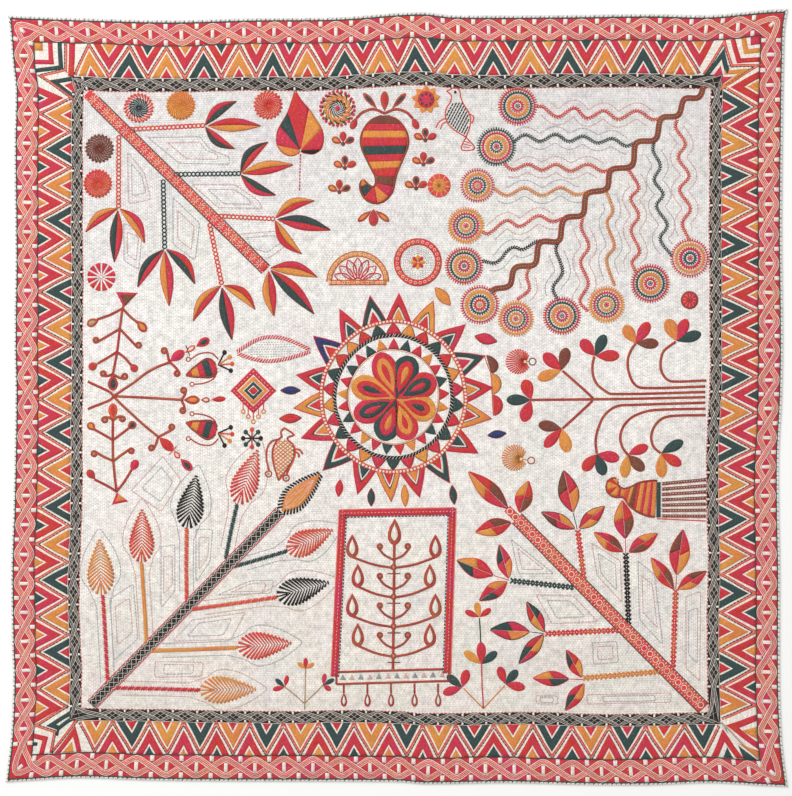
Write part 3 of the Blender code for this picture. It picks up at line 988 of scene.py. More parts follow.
def blade(start, end, width, belly=0.5, round_tip=False, bend=0.0, count=13):
    """The two edges of a leaf or a drop from its stalk to its tip; bend is a share of its length."""
    start, end = np.asarray(start, float), np.asarray(end, float)
    t = np.linspace(0.02, 0.995 if round_tip else 0.98, count)
    if round_tip:
        t = np.concatenate((t[:-1] * 0.97, (0.96, 0.98, 0.995)))
    axis = end - start
    normal = np.array((-axis[1], axis[0]))
    middle = start + axis * t[:, None] + normal * (bend * np.sin(math.pi * t))[:, None]
    rise = np.sin(0.5 * math.pi * np.minimum(t / belly, 1.0))
    past = np.clip((t - belly) / (1 - belly), 0.0, 1.0)
    fall = np.sqrt(np.maximum(1 - past**2, 0.0)) if round_tip else np.cos(0.5 * math.pi * past)
    half = np.maximum(width / 2 * rise * fall, 0.15)[:, None] * unit(normal)
    return middle + half, middle - half


def rope(work, path, width, threads, pitch, closed=False, top=FILL, slant=0.7):
    """A whipped or rope stitch: short slanted stitches of alternating threads along a path."""
    path = np.asarray(path, float)
    if closed:
        path = np.vstack((path, path[:1]))
    path = evenly(path, pitch)
    for k, (a, b) in enumerate(zip(path[:-1], path[1:])):
        along = unit(b - a)
        aside = np.array((-along[1], along[0])) * width / 2
        lean = along * slant * pitch / 2
        middle = (a + b) / 2
        thread = threads[k % len(threads)]
        if thread:
            ends = np.stack((middle - aside - lean, middle, middle + aside + lean))
            work.line(ends, pitch * 0.92, thread, top)


# %% The lotus medallion
lotus = Stitching("lotus_medallion")
RAY_TIPS = (3.5, 23.5, 45.7, 66.4, 85, 102, 122.3, 145.6, 164.4, 181.5, 201.5, 225, 246.7, 263.8, 282.6, 306, 327, 346.3)
RAY_THREADS = (
    "crimson", "ochre", "crimson", "green", "crimson", "ochre", "crimson", "green", "crimson",
    "ochre", "crimson", "green", "crimson", "ochre", "crimson", "navy", "crimson", "green",
)
RAY_HEARTS = (
    "ochre", "crimson", "green", "crimson", "ochre", "crimson", "green", "crimson", "ochre",
    "crimson", "green", "crimson", "ochre", "crimson", "green", "crimson", "green", "crimson",
)


def ring_place(radius, degrees):
    """A place on the medallion, which is a little taller than it is wide."""
    return MEDALLION + polar((0, 0), radius, degrees) * (0.985, 1.03)


def ring(radius, count=110):
    """A closed ring of the medallion."""
    return ring_place(radius, np.arange(count) * 360 / count)


for k, tip in enumerate(RAY_TIPS):
    middle = 4.3 + 20 * k
    ray = [ring_place(r, a) for r, a in ((79.0, middle - 10.3), (109.0, tip), (79.0, middle + 10.3))]
    lines = (
        (-0.7, 0.6, "crimson", FILL), (0.0, 4.9, RAY_THREADS[k], 0.55),
        (4.8, 5.6, "white" if RAY_THREADS[k] == "green" else "black", 0.4), (5.5, 6.6, "white", 0.4),
    )
    for outside, inside_, thread, top in lines:
        chevron(lotus, ray, outside, inside_, thread, top, 0.9)
    small_triangle(lotus, ray, 6.5, RAY_HEARTS[k], bulge=0.4)

REPEAT = ("crimson", "ochre", "crimson", "green")
OUTER_TEETH = REPEAT * 2 + REPEAT[2:] + REPEAT * 4
INNER_TEETH = ("crimson", "green", "crimson", "ochre") * 5 + ("crimson", "green", "crimson", "green", "ochre")
for inner, outer, threads in ((66.0, 77.6, OUTER_TEETH), (50.6, 62.0, INNER_TEETH)):
    for k, thread in enumerate(threads):
        angle, half = k * 360 / len(threads), 180 / len(threads)
        tooth = [ring_place(r, a) for r, a in ((inner, angle - half), (outer, angle), (inner, angle + half))]
        if inner > 60:
            chevron(lotus, tooth, -0.4, 0.6, "brown", FILL, 1.0)
        small_triangle(lotus, tooth, 0.2, thread, bulge=0.9 if inner > 60 else 0.5)

lotus.strip(ring(79.2), 4.6, "vermilion", 0.6, closed=True)
beads = evenly(np.vstack((ring(79.2), ring(79.2)[:1])), 3.9)
for a, b in zip(beads[:-1], beads[1:]):
    lotus.strip(np.stack((a, toward(a, b, 0.6))), 3.0, "white", 0.9)
lotus.line(ring(76.6), 1.0, "ochre", FILL, closed=True)
lotus.strip(ring(64.0), 4.2, "black", FILL, closed=True)
rope(lotus, ring(64.0), 3.4, ("white", "black"), 1.8, closed=True, top=OVER, slant=1.4)
lotus.line(ring(50.0), 1.5, "brown", FILL, closed=True)
lotus.line(ring(48.6), 1.1, "ochre", FILL, closed=True)

FLOWER = MEDALLION + (2.8, -2.5)
PETALS = (  # angle, length in mm, outer, middle and inner thread
    (-21, 53, "crimson", "ochre", "crimson"), (18, 49, "green", "crimson", "ochre"),
    (62, 47.5, "crimson", "green", "crimson"), (109, 45, "ochre", "crimson", "green"),
    (160, 46, "crimson", "ochre", "crimson"), (199, 47, "green", "crimson", "ochre"),
    (246, 49, "crimson", "green", "crimson"), (291, 51, "ochre", "crimson", "green"),
)
for angle, length, *threads in PETALS:
    for start, end, width, thread, top in zip(
        (-1.0, 7.0, 16.0), (length, length - 6.2, length - 12.2), (28.0, 16.6, 7.0), threads, (FILL, OVER, LINE),
    ):
        drop = blade(polar(FLOWER, start, angle), polar(FLOWER, end, angle), width, 0.66, round_tip=True)
        lotus.shell(*drop, thread, top)
SCALLOPS = (  # from, to and the outermost point of each half round beside the rays
    ("brown", (96.0, 48), (101.5, 28.5), (109, 39)), ("ochre", (101.8, 28), (103, 4.5), (112.3, 17)),
    ("crimson", (103.2, 4), (104, -18), (113.5, -7)),
)
for thread, start, end, far in SCALLOPS:
    straight = evenly((start, end), 2.0)
    swell = np.sqrt(np.sin(np.linspace(0.02, math.pi - 0.02, len(straight))))[:, None]
    round_edge = straight + (np.array(far) - toward(start, end, 0.5)) * swell
    lotus.shell(straight, round_edge, thread, FILL)
    lotus.line(round_edge, 1.2, "brown", FILL + 0.1)
lotus.line(evenly(((94, 48.5), (101.3, 28), (102.6, 4), (103.5, -18)), 3.0), 1.4, "vermilion", OVER)
lotus.finish()

# %% [markdown]
# The field is filled with plants, all sewn with the same few stitches. From here on, places are in
# mm as measured on the real cloth. The stems are chains of small rings, ropes of slanted stitches
# or rows of herringbone stitch, and each of these is one function that follows a path.

# %% Stitches that follow a path


def ring_chain(work, path, thread, pitch=4.4, radius=2.2):
    """A stem of small rings, one beside the other, as chain stitch makes."""
    for centre in evenly(path, pitch):
        work.line(circle(centre, radius, 9), 2.1, thread, OVER, closed=True)


def herringbone(work, path, thread, width=3.7, pitch=2.5, lean=1.3):
    """A stem of V-shaped stitches, one inside the other."""
    path = evenly(path, pitch)
    ahead = unit(np.gradient(path, axis=0))
    aside = ahead @ np.array(((0, 1), (-1, 0))) * width / 2
    for middle, along, across in zip(path, ahead, aside):
        work.line((middle - across - along * lean, middle + along * 0.6, middle + across - along * lean), 1.9, thread, OVER)


def plait(work, path, thread, width=6.0, pitch=2.4, thick=2.7):
    """Pairs of short stitches that lean forward and back in turn, so that they make a row of crosses."""
    path = evenly(path, pitch)
    work.strip(path, width * 0.6, thread, 0.35)
    for k, (a, b) in enumerate(zip(path[:-1], path[1:])):
        along = unit(b - a)
        aside = np.array((-along[1], along[0]))
        lean = along * pitch * (0.5 if k % 2 else -0.5)
        for sign in (1, -1):
            middle = (a + b) / 2 + aside * sign * width * 0.1
            end = (a + b) / 2 + aside * sign * width / 2 + lean
            work.line(np.stack((middle - lean * 0.6, (middle + end) / 2, end)), thick, thread, OVER)


def running_stitch(work, path, thread, stitch=2.4, gap=1.7, width=0.8, top=0.3):
    """Single short stitches along a path."""
    path = np.asarray(path, float)
    length = float(np.linalg.norm(np.diff(path, axis=0), axis=1).sum())
    count = max(1, round((length + gap) / (stitch + gap)))
    run = np.concatenate(((0.0,), np.cumsum(np.linalg.norm(np.diff(path, axis=0), axis=1))))
    starts = (stitch + gap) * np.arange(count) * length / (count * (stitch + gap) - gap)
    for start in starts:
        places = np.array((start, start + stitch))
        work.line(np.stack([np.interp(places, run, path[:, k]) for k in (0, 1)], axis=1), width, thread, top)


def spokes(work, centre, inner, outer, count, width, thread, turn=0.0, first=0.0, top=OVER):
    """Short stitches round a centre, straight or with a turn from their inner to their outer end."""
    for k in range(count):
        angle = first + 360 * k / count
        path = polar(centre, np.linspace(inner, outer, 2 if turn == 0 else 5), angle + turn * np.linspace(0, 1, 2 if turn == 0 else 5))
        widths = width * np.linspace(inner, outer, len(path)) / outer if turn else width
        work.strip(path, widths, thread, top, section=ROUND)


# %% [markdown]
# Leaves come in two kinds. The lance-shaped ones are satin stitch in two colours, one each side of
# the middle, in threes at the end of a stem. The feathered ones are single slanted stitches that
# run back from the middle, close together, so that their ends make a toothed edge.

# %% Leaves


def lance_leaf(work, base, tip, width, bend, left_thread, right_thread):
    """A leaf of two colours; left and right are as seen from its base, and a positive bend is to the left."""
    left, right = blade(base, tip, width, 0.46, bend=bend)
    middle = (left + right) / 2
    work.shell(left, middle, left_thread, FILL)
    work.shell(middle, right, right_thread, FILL)
    work.line(left, 0.7, "madder", FILL + 0.1)
    work.line(right, 0.7, "madder", FILL + 0.1)
    work.line(middle, 0.6, "olive", FILL + 0.15)


def feather_leaf(work, base, tip, width, thread, barbs=15, belly=0.34):
    """A leaf of slanted stitches on both sides of its middle."""
    base, tip = np.asarray(base, float), np.asarray(tip, float)
    axis = tip - base
    normal = unit(np.array((-axis[1], axis[0])))
    edge = (np.arange(barbs) + 0.3) / barbs
    rib = edge + 0.24 * (1 - edge) ** 0.8
    rise = np.sqrt(np.maximum(1 - (1 - np.minimum(edge / belly, 1.0)) ** 2, 0.0))
    half = width / 2 * rise * (1 - np.clip((edge - belly) / (1 - belly), 0, 1) ** 1.5)
    for side_sign in (1, -1):
        for r, e, h in zip(rib, edge, half):
            stitch = np.stack((base + axis * r, base + axis * e + normal * side_sign * max(h, 1.2)))
            stitch = along_path(stitch, np.linspace(0, 1, 5))
            work.strip(stitch, np.linspace(1.3, 3.8 + 0.8 * (1 - r), 5), thread, OVER, section=ROUND)
    work.line(evenly((base + axis * 0.2, base), 2.0), 2.2, thread, OVER)


# %% [markdown]
# The upper left tree stands in its corner. Its trunk is a broad red strip with stars of white
# stitches and dark green edges, and it bears three stems along and three down, each with three
# lance leaves, and three more leaves at its end.

# %% The upper left tree
tree_upper_left = Stitching("tree_upper_left", measured=True)
TRUNK_START, TRUNK_END = np.array((-336.0, 331.0)), np.array((-142.5, 140.0))
trunk = evenly(np.stack((TRUNK_START, TRUNK_END)), 4.0)
tree_upper_left.strip(trunk, 11.6, "vermilion", FILL)
trunk_left, trunk_right = edges(trunk, 2.0)
trunk_side = (trunk_left - trunk_right) / 2
for offset in (-6.2, 6.2):
    tree_upper_left.line(trunk[3:] + trunk_side[3:] * offset, 1.3, "green", OVER)
for offset in (-4.5, 4.5):
    running_stitch(tree_upper_left, trunk + trunk_side * offset, "white", 1.7, 2.0, 1.5, LINE)
STAR_PITCH = 9.6  # mm
for centre in evenly(np.stack((TRUNK_START, TRUNK_END)), STAR_PITCH)[1:-1]:
    spokes(tree_upper_left, centre, 1.1, 4.3, 8, 1.45, "white", first=22.5, top=LINE)

STEMS_UPPER_LEFT = (  # thread, from, to
    ("vermilion", (-292, 291.5), (-211, 296)), ("green", (-243, 243), (-172, 244)), ("vermilion", (-195, 198), (-135, 195)),
    ("vermilion", (-301.5, 283), (-302, 209)), ("green", (-253.5, 235), (-252, 165)), ("vermilion", (-203, 188), (-190.5, 126)),
)
for thread, start, end in STEMS_UPPER_LEFT:
    ring_chain(tree_upper_left, np.array((start, end)), thread)

LANCE_LEAVES = (  # base, tip, width and bend, then the threads on its left and right
    ((-208.5, 296), (-173.5, 322.5), 12.0, 0.10, "crimson", "green"),
    ((-206, 295.5), (-147, 295.5), 14.5, 0.02, "crimson", "ochre"),
    ((-208.5, 295), (-175.5, 270.5), 11.5, -0.10, "crimson", "green"),
    ((-170, 244), (-139, 278.5), 13.0, 0.12, "green", "crimson"),
    ((-169, 244), (-112, 253.5), 14.0, 0.03, "ochre", "crimson"),
    ((-170, 243), (-131, 220.5), 12.5, -0.10, "green", "crimson"),
    ((-132.5, 195.5), (-89, 214.5), 12.5, 0.13, "ochre", "crimson"),
    ((-131, 194.5), (-71.5, 182.5), 15.5, 0.03, "green", "crimson"),
    ((-132.5, 194), (-103, 156.5), 13.0, -0.10, "ochre", "crimson"),
    ((-138.5, 141.5), (-86, 131.5), 15.0, 0.09, "crimson", "ochre"),
    ((-138, 140), (-89.5, 91), 15.5, 0.03, "crimson", "green"),
    ((-139.5, 139), (-133.5, 89), 14.5, -0.04, "crimson", "ochre"),
    ((-302, 206.5), (-338, 180), 11.5, -0.10, "crimson", "ochre"),
    ((-302.5, 205), (-306.5, 147), 13.5, 0.0, "crimson", "green"),
    ((-301, 206.5), (-273.5, 168), 12.5, 0.11, "crimson", "ochre"),
    ((-252, 162.5), (-281.5, 120), 12.5, -0.08, "crimson", "green"),
    ((-252, 161), (-247, 99.5), 14.0, 0.0, "crimson", "ochre"),
    ((-251, 162.5), (-219, 123.5), 13.0, 0.11, "crimson", "green"),
    ((-190.5, 123), (-221.5, 83.5), 12.5, -0.10, "crimson", "ochre"),
    ((-190, 121.5), (-179, 63), 15.0, 0.0, "crimson", "green"),
    ((-189, 123), (-153.5, 96), 12.5, 0.12, "crimson", "ochre"),
)
for base, tip, width, bend, left_thread, right_thread in LANCE_LEAVES:
    lance_leaf(tree_upper_left, base, tip, width, bend, left_thread, right_thread)
tree_upper_left.finish()

# %% [markdown]
# The upper right tree is a staircase of two chain-stitched rows with a pale line between them. From
# every step a wavy stem runs along or down to a toothed roundel. A roundel is rings of stitches one
# inside the other, each ring with its ends showing as teeth.

# %% The upper right tree
tree_upper_right = Stitching("tree_upper_right", measured=True)
STAIRCASE = (  # from the corner to the lowest roundel
    (332, 341), (326, 326.5), (310.5, 324.5), (303.5, 307), (285.5, 303.5), (279, 281), (258.5, 277), (253.5, 252.5),
    (231, 247.5), (227.5, 229.5), (223, 226), (208, 223.5), (203.5, 219.5), (201.5, 201.5), (197.5, 198), (183.5, 196.5),
    (178.5, 191), (176, 173.5), (172, 170), (157.5, 170.5), (152.5, 166.5), (150, 149), (146, 144.5), (131, 143.5),
    (125.5, 139.5), (122.5, 125), (118, 121), (105.5, 119), (100.5, 115),
)
staircase = curve(STAIRCASE, 2.6)
tree_upper_right.strip(staircase, 6.6, "brown", FILL)
stair_left, stair_right = edges(staircase, 2.0)
stair_side = (stair_left - stair_right) / 2
for offset, thread, thick in ((-2.1, "madder", 2.9), (2.1, "madder", 2.9)):
    tree_upper_right.line(staircase + stair_side * offset, thick, thread, OVER)
running_stitch(tree_upper_right, staircase, "tan", 1.8, 1.2, 1.9, LINE)

WAVY_STEMS = (  # thread, then the turning points of the wave, from the trunk to the roundel
    ("vermilion", (282, 303), (275, 302.5), (259, 312), (238.5, 302.5), (223.5, 312), (205, 303.5), (191.5, 315), (173, 305), (157, 316.5), (151.5, 316.5)),
    ("green", (256, 277), (247.5, 273.5), (232.5, 282), (216.5, 277), (200.5, 284.5), (185.5, 278.5), (171, 286.5), (154, 278.5), (138.5, 286), (126, 278.5)),
    ("vermilion", (228, 247.5), (222, 246), (205.5, 254), (187, 246.5), (171.5, 254), (156.5, 247.5), (141.5, 254), (124.5, 248), (115.5, 254.5)),
    ("ochre", (206.5, 224), (192.5, 221), (176.5, 229), (156.5, 220), (137, 228.5), (118.5, 220), (105, 227)),
    ("vermilion", (179.5, 195.5), (167, 192), (152.5, 198.5), (132, 186.5), (118.5, 193.5), (98, 178.5), (92.5, 180.5)),
    ("black", (155.5, 171), (150.5, 170.5), (135, 161.5), (126.5, 164.5), (118.5, 160), (112, 151.5), (105, 147), (92.5, 149.5)),
    ("vermilion", (302, 301), (300.5, 294), (311.5, 276), (303.5, 261.5), (315.5, 241.5), (305, 226.5), (317, 206), (308, 190.5), (315.5, 172.5)),
    ("green", (277, 276), (276.5, 268.5), (284.5, 252), (277.5, 237), (287.5, 221.5), (280, 209), (292, 188), (284, 173.5), (296.5, 155.5)),
    ("vermilion", (251, 246.5), (261, 228), (252, 217.5), (261, 198.5), (252.5, 183), (262, 159), (253.5, 148.5), (258, 137)),
    ("ochre", (226.5, 223.5), (233, 203), (226.5, 191.5), (234.5, 165), (226, 151.5), (234.5, 123)),
    ("vermilion", (200, 194.5), (198.5, 186), (207, 165), (198, 148.5), (206.5, 125), (197, 106), (205.5, 95.5)),
    ("black", (172.5, 167), (171, 162), (178.5, 137), (168, 120.5), (173.5, 107)),
    ("vermilion", (142, 140.5), (139.5, 134), (142.5, 118.5), (130, 108)),
)
for thread, *turns in WAVY_STEMS:
    herringbone(tree_upper_right, curve(turns, 2.0), thread)


def toothed_roundel(work, centre, radius, rings):
    """Rings of stitches with teeth; each ring has its inner and outer share of the radius and its thread."""
    for k, (inner, outer, thread) in enumerate(rings):
        inside, outside = inner * radius, outer * radius
        body = outside - (2.0 if k == 0 else 1.1)
        count = max(12, round(body * 2))
        if inside > 0:
            work.shell(circle(centre, body, count), circle(centre, inside, count), thread, FILL, closed=True)
        else:
            work.shell(*blade((centre[0] - body, centre[1]), (centre[0] + body, centre[1]), 2 * body, 0.5, True), thread, FILL)
        teeth = max(8, round(2 * math.pi * outside / 2.9))
        spokes(work, centre, body - 0.8, outside, teeth, 2.1, thread, first=3.0 * k, top=FILL)
        spokes(work, centre, body - 1.1, body + 0.5, teeth, 0.8, "white", first=3.0 * k + 180 / teeth, top=OVER)


RING_KINDS = {
    "green within red": ((0.80, 1.0, "crimson"), (0.62, 0.79, "green"), (0.37, 0.60, "ochre"), (0.17, 0.35, "crimson"), (0, 0.13, "green")),
    "red within green": ((0.80, 1.0, "green"), (0.62, 0.79, "crimson"), (0.36, 0.60, "ochre"), (0.20, 0.34, "green"), (0, 0.16, "crimson")),
    "ochre within red": ((0.82, 1.0, "crimson"), (0.56, 0.80, "ochre"), (0.37, 0.54, "green"), (0.17, 0.35, "crimson"), (0, 0.15, "ochre")),
    "red within ochre": ((0.76, 1.0, "ochre"), (0.58, 0.75, "crimson"), (0.42, 0.57, "green"), (0.20, 0.40, "ochre"), (0, 0.16, "crimson")),
    "ochre and red": ((0.84, 1.0, "crimson"), (0.62, 0.82, "ochre"), (0.40, 0.60, "crimson"), (0.20, 0.38, "green"), (0, 0.16, "crimson")),
}
ROUNDELS = (  # centre, radius and kind
    ((130, 317), 20.0, "green within red"), ((107, 273), 20.0, "red within green"), ((86.5, 231), 17.5, "ochre within red"),
    ((74, 187.5), 19.0, "red within ochre"), ((72, 144), 19.5, "green within red"), ((89, 102), 20.0, "ochre within red"),
    ((128, 87), 18.5, "red within ochre"), ((178, 90), 19.5, "green within red"), ((226, 102), 19.0, "red within ochre"),
    ((273.5, 125), 20.0, "green within red"), ((316.5, 152.5), 20.0, "ochre and red"),
)
for centre, radius, kind in ROUNDELS:
    toothed_roundel(tree_upper_right, centre, radius * 1.07, RING_KINDS[kind])
tree_upper_right.finish()

# %% [markdown]
# The lower left tree has a dark trunk, a black strip under a net of white stitches with a red
# thread along each side. Its leaves are feathered, and its stems are ropes of slanted stitches.

# %% The lower left tree
tree_lower_left = Stitching("tree_lower_left", measured=True)
LATTICE_STEP, LATTICE_ROW = 3.45, 3.6  # mm along the trunk and across it
trunk = evenly(((-331, -331), (-236, -234), (-126.5, -121.5)), LATTICE_STEP)
tree_lower_left.strip(trunk, 10.6, "black", FILL)
trunk_left, trunk_right = edges(trunk, 2.0)
trunk_side = (trunk_left - trunk_right) / 2
near = (np.arange(len(trunk)) % 2)[:, None]
for offsets in (LATTICE_ROW * near, LATTICE_ROW + 1.8 * near):
    for sign in (1, -1):
        tree_lower_left.line(trunk + trunk_side * sign * offsets, 1.6, "white", OVER)
for offset in (-6.1, 6.1):
    tree_lower_left.line(trunk + trunk_side * offset, 1.5, "crimson", OVER)

ROPE_STEMS = (  # thread, then the path
    ("crimson", (-319, -212), (-316.5, -250), (-313, -318)), ("ochre", (-277, -177), (-273.5, -230), (-271, -272)),
    ("vermilion", (-228, -140), (-228.5, -180), (-228, -220)), ("green", (-173.5, -114), (-180, -142), (-186, -173)),
    ("green", (-119.5, -164.5), (-148, -173), (-176, -181)), ("vermilion", (-130.5, -214.5), (-175, -221), (-221, -227.5)),
    ("ochre", (-173, -269), (-220, -271), (-267, -272.5)), ("crimson", (-214, -315), (-260, -313.5), (-310, -312.5)),
)
SECOND_THREAD = {"crimson": "rose", "vermilion": "rose", "ochre": "tan", "green": "grey"}
for thread, *points in ROPE_STEMS:
    tree_lower_left.strip(curve(points), 3.6, thread, 0.4)
    rope(tree_lower_left, curve(points), 4.7, (thread, thread, SECOND_THREAD[thread]), 2.4, slant=1.6)

FEATHER_LEAVES = (  # base, tip, width and thread
    ((-320.5, -212), (-322.5, -150.5), 29.0, "ochre"), ((-277, -177), (-276.5, -118), 27.0, "vermilion"),
    ((-228, -140), (-217.5, -81.5), 29.0, "black"), ((-173, -113.5), (-151, -54), 29.0, "vermilion"),
    ((-119.5, -164.5), (-69, -141), 28.0, "vermilion"), ((-130.5, -214), (-73, -198), 29.0, "black"),
    ((-173, -268.5), (-113.5, -264), 29.5, "vermilion"), ((-214, -315), (-151.5, -314), 29.5, "ochre"),
)
for base, tip, width, thread in FEATHER_LEAVES:
    feather_leaf(tree_lower_left, base, tip, width, thread)

tree_lower_left.shell(*blade((-126, -122), (-83, -80.5), 20.5, 0.34), "ochre", FILL)
for width in (15.0, 9.5, 4.5):
    for edge in blade((-122, -118), (-90, -87), width, 0.34):
        tree_lower_left.line(edge, 1.3, "blush", OVER)
leaf_left, leaf_right = blade((-127, -122), (-81, -78.5), 24.0, 0.34, count=15)
for edge, sign in ((leaf_left, 1), (leaf_right, -1)):
    whipped = evenly(edge, 3.4)
    outward = unit(np.gradient(whipped, axis=0)) @ np.array(((0, 1), (-1, 0))) * sign
    for start, out in zip(whipped[1:-1], outward[1:-1]):
        tree_lower_left.line(np.stack((start - out * 1.8 + (0.6, 0.6), start + out * 2.6 - (1.2, 1.2))), 2.9, "black", LINE)
tree_lower_left.finish()

# %% [markdown]
# The lower right tree's trunk is a red strip with a row of white rings. Its leaves are satin stitch
# in patches: each half of a leaf changes colour on a slant, so every leaf has three or four
# patches, with a thin line of thread round it.

# %% Patched leaves


def patched_leaf(work, base, tip, width, threads, outline="crimson", belly=0.45):
    """A leaf in four patches: left half at the base and the tip, then right half at the base and the tip."""
    left, right = blade(base, tip, width, belly)
    middle = (left + right) / 2
    for edge, (near, far), cuts in ((left, threads[:2], (0.44, 0.56)), (right, threads[2:], (0.56, 0.42))):
        at_edge, at_middle = cuts
        work.shell(along_path(edge, np.linspace(0, at_edge, 7)), along_path(middle, np.linspace(0, at_middle, 7)), near, FILL)
        work.shell(along_path(edge, np.linspace(at_edge, 1, 7)), along_path(middle, np.linspace(at_middle, 1, 7)), far, FILL)
        work.line(edge, 1.2, outline, FILL + 0.1)


# %% The lower right tree
tree_lower_right = Stitching("tree_lower_right", measured=True)
RING_PITCH, RING_RADIUS = 8.6, 3.1  # mm
TRUNK_COURSE = ((331, -334.5), (239, -241.5), (129, -129))
trunk = curve(TRUNK_COURSE, 4.0)
tree_lower_right.strip(trunk, 14.2, "vermilion", FILL)
tree_lower_right.strip(evenly((trunk[-1], (118.5, -118.5)), 3.0), 9.0, "vermilion", FILL)
trunk_left, trunk_right = edges(trunk, 2.0)
trunk_side = (trunk_left - trunk_right) / 2
for offset in (-7.2, 7.2):
    tree_lower_right.line(trunk + trunk_side * offset, 1.6, "green", OVER)
ring_centres = evenly(((328, -331), (239, -241.5), (121.5, -121.5)), RING_PITCH)
across = np.array((1, 1)) / math.sqrt(2)
along = np.array((-1, 1)) / math.sqrt(2)
for centre in ring_centres:
    tree_lower_right.line(circle(centre, RING_RADIUS, 10), 2.4, "white", OVER, closed=True)
for centre in (ring_centres[:-2] + ring_centres[1:-1]) / 2:
    for side_step, ahead_step, half in ((2.6, 0.0, 1.5), (-2.6, 0.0, 1.5), (5.4, 2.3, 1.1), (-5.4, 2.3, 1.1), (5.4, -2.3, 1.1), (-5.4, -2.3, 1.1)):
        place = centre + across * side_step + along * ahead_step
        tree_lower_right.line(np.stack((place - across * half, place + across * half)), 2.2, "white", OVER)

CHAIN_STEMS = (  # thread, from, to
    ("vermilion", (195, -142), (202, -198)), ("black", (247, -167), (250, -243)), ("vermilion", (301, -206), (298, -291)),
    ("green", (122.5, -196.5), (191, -204)), ("vermilion", (160, -254), (240, -250)), ("ochre", (201, -302), (283, -295)),
)
for thread, start, end in CHAIN_STEMS:
    plait(tree_lower_right, (start, end), thread)
    running_stitch(tree_lower_right, evenly((start, end), 3.0), "white", 1.1, 1.9, 1.6, 1.1)

PATCHED_LEAVES = (  # base, tip and width, then the threads and the outline
    ((120, -119), (76, -78), 20.0, ("crimson", "ochre", "brown", "crimson"), "crimson"),
    ((132, -123.5), (142, -88), 18.5, ("crimson", "ochre", "brown", "crimson"), "vermilion"),
    ((123.5, -133.5), (83.5, -144.5), 18.5, ("crimson", "ochre", "brown", "crimson"), "vermilion"),
    ((192.5, -140.5), (155, -122), 15.0, ("crimson", "brown", "ochre", "crimson"), "black"),
    ((196.5, -140.5), (224.5, -115.5), 15.5, ("crimson", "ochre", "ochre", "crimson"), "black"),
    ((190, -123), (179.5, -76.5), 22.0, ("crimson", "brown", "ochre", "crimson"), "black"),
    ((244.5, -165.5), (212, -144), 16.0, ("crimson", "ochre", "brown", "crimson"), "vermilion"),
    ((250, -166), (282, -145), 16.0, ("crimson", "ochre", "brown", "crimson"), "vermilion"),
    ((246.5, -151.5), (243, -109), 21.0, ("crimson", "ochre", "brown", "crimson"), "vermilion"),
    ((299, -206), (274, -171), 15.5, ("crimson", "ochre", "brown", "crimson"), "vermilion"),
    ((303, -206), (335, -186), 15.0, ("crimson", "brown", "ochre", "crimson"), "vermilion"),
    ((302, -191), (309, -140.5), 21.5, ("crimson", "brown", "ochre", "crimson"), "vermilion"),
    ((120.5, -194.5), (110, -157), 15.5, ("crimson", "green", "ochre", "crimson"), "vermilion"),
    ((104, -191), (63.5, -174), 20.5, ("crimson", "green", "crimson", "ochre"), "vermilion"),
    ((119, -197.5), (88, -218.5), 17.0, ("crimson", "green", "ochre", "crimson"), "vermilion"),
    ((159, -252.5), (139.5, -219), 14.5, ("ochre", "crimson", "crimson", "green"), "black"),
    ((143.5, -252), (99.5, -249.5), 19.5, ("ochre", "crimson", "crimson", "green"), "black"),
    ((158.5, -254.5), (131, -287), 15.0, ("ochre", "crimson", "crimson", "green"), "black"),
    ((199.5, -301.5), (182.5, -271), 14.0, ("crimson", "green", "ochre", "crimson"), "crimson"),
    ((186, -303), (146, -302), 16.0, ("green", "crimson", "crimson", "ochre"), "crimson"),
    ((202, -307.5), (181.5, -337.5), 15.0, ("ochre", "crimson", "crimson", "green"), "crimson"),
)
for base, tip, width, threads, outline in PATCHED_LEAVES:
    patched_leaf(tree_lower_right, base, tip, width, threads, outline)
LEAF_STALKS = (  # thread, from, to
    ("black", (194.5, -141), (190, -123)), ("crimson", (247, -167), (246.5, -151)), ("crimson", (301, -206), (302, -191)),
    ("crimson", (120.5, -196), (104, -191)), ("black", (159, -254), (143.5, -252)), ("crimson", (201, -303.5), (186, -303)),
)
for thread, start, end in LEAF_STALKS:
    tree_lower_right.line(evenly((start, end), 3.0), 1.4, thread, FILL)
tree_lower_right.finish()

# %% [markdown]
# From the right side grows a tree without a trunk: seven stems side by side that bend away one
# after the other and end in three round-tipped petals. A stem is two rows of back stitch, one
# reddish and one brown, close together.

# %% The tree on the right side


def stem(work, points, width=3.2, roll=0, radius=2.7, thread="madder"):
    """A stem of two rows of back stitch; its end may roll up to the left (roll 1) or the right (roll -1)."""
    path = curve(points, 2.5) if len(points) > 2 else evenly(points, 2.5)
    if roll:
        ahead = unit(path[-1] - path[-2])
        centre = path[-1] + np.array((-ahead[1], ahead[0])) * radius * roll
        start = math.degrees(math.atan2(*(path[-1] - centre)))
        turned = np.linspace(30, 300, 9)
        path = np.vstack((path, polar(centre, radius, start - roll * turned)))
        work.line(circle(centre, 0.9, 6), 1.8, "tan", OVER, closed=True)
    left, right = edges(path, 1.0)
    work.strip(path, width, thread, FILL)
    work.line(path + (left - right) * -0.27 * width, 1.5, "brown", OVER)


def petal(work, base, tip, width, thread):
    """A petal with a narrow foot and a round tip."""
    work.shell(*blade(base, tip, width, 0.62, round_tip=True), thread, FILL)


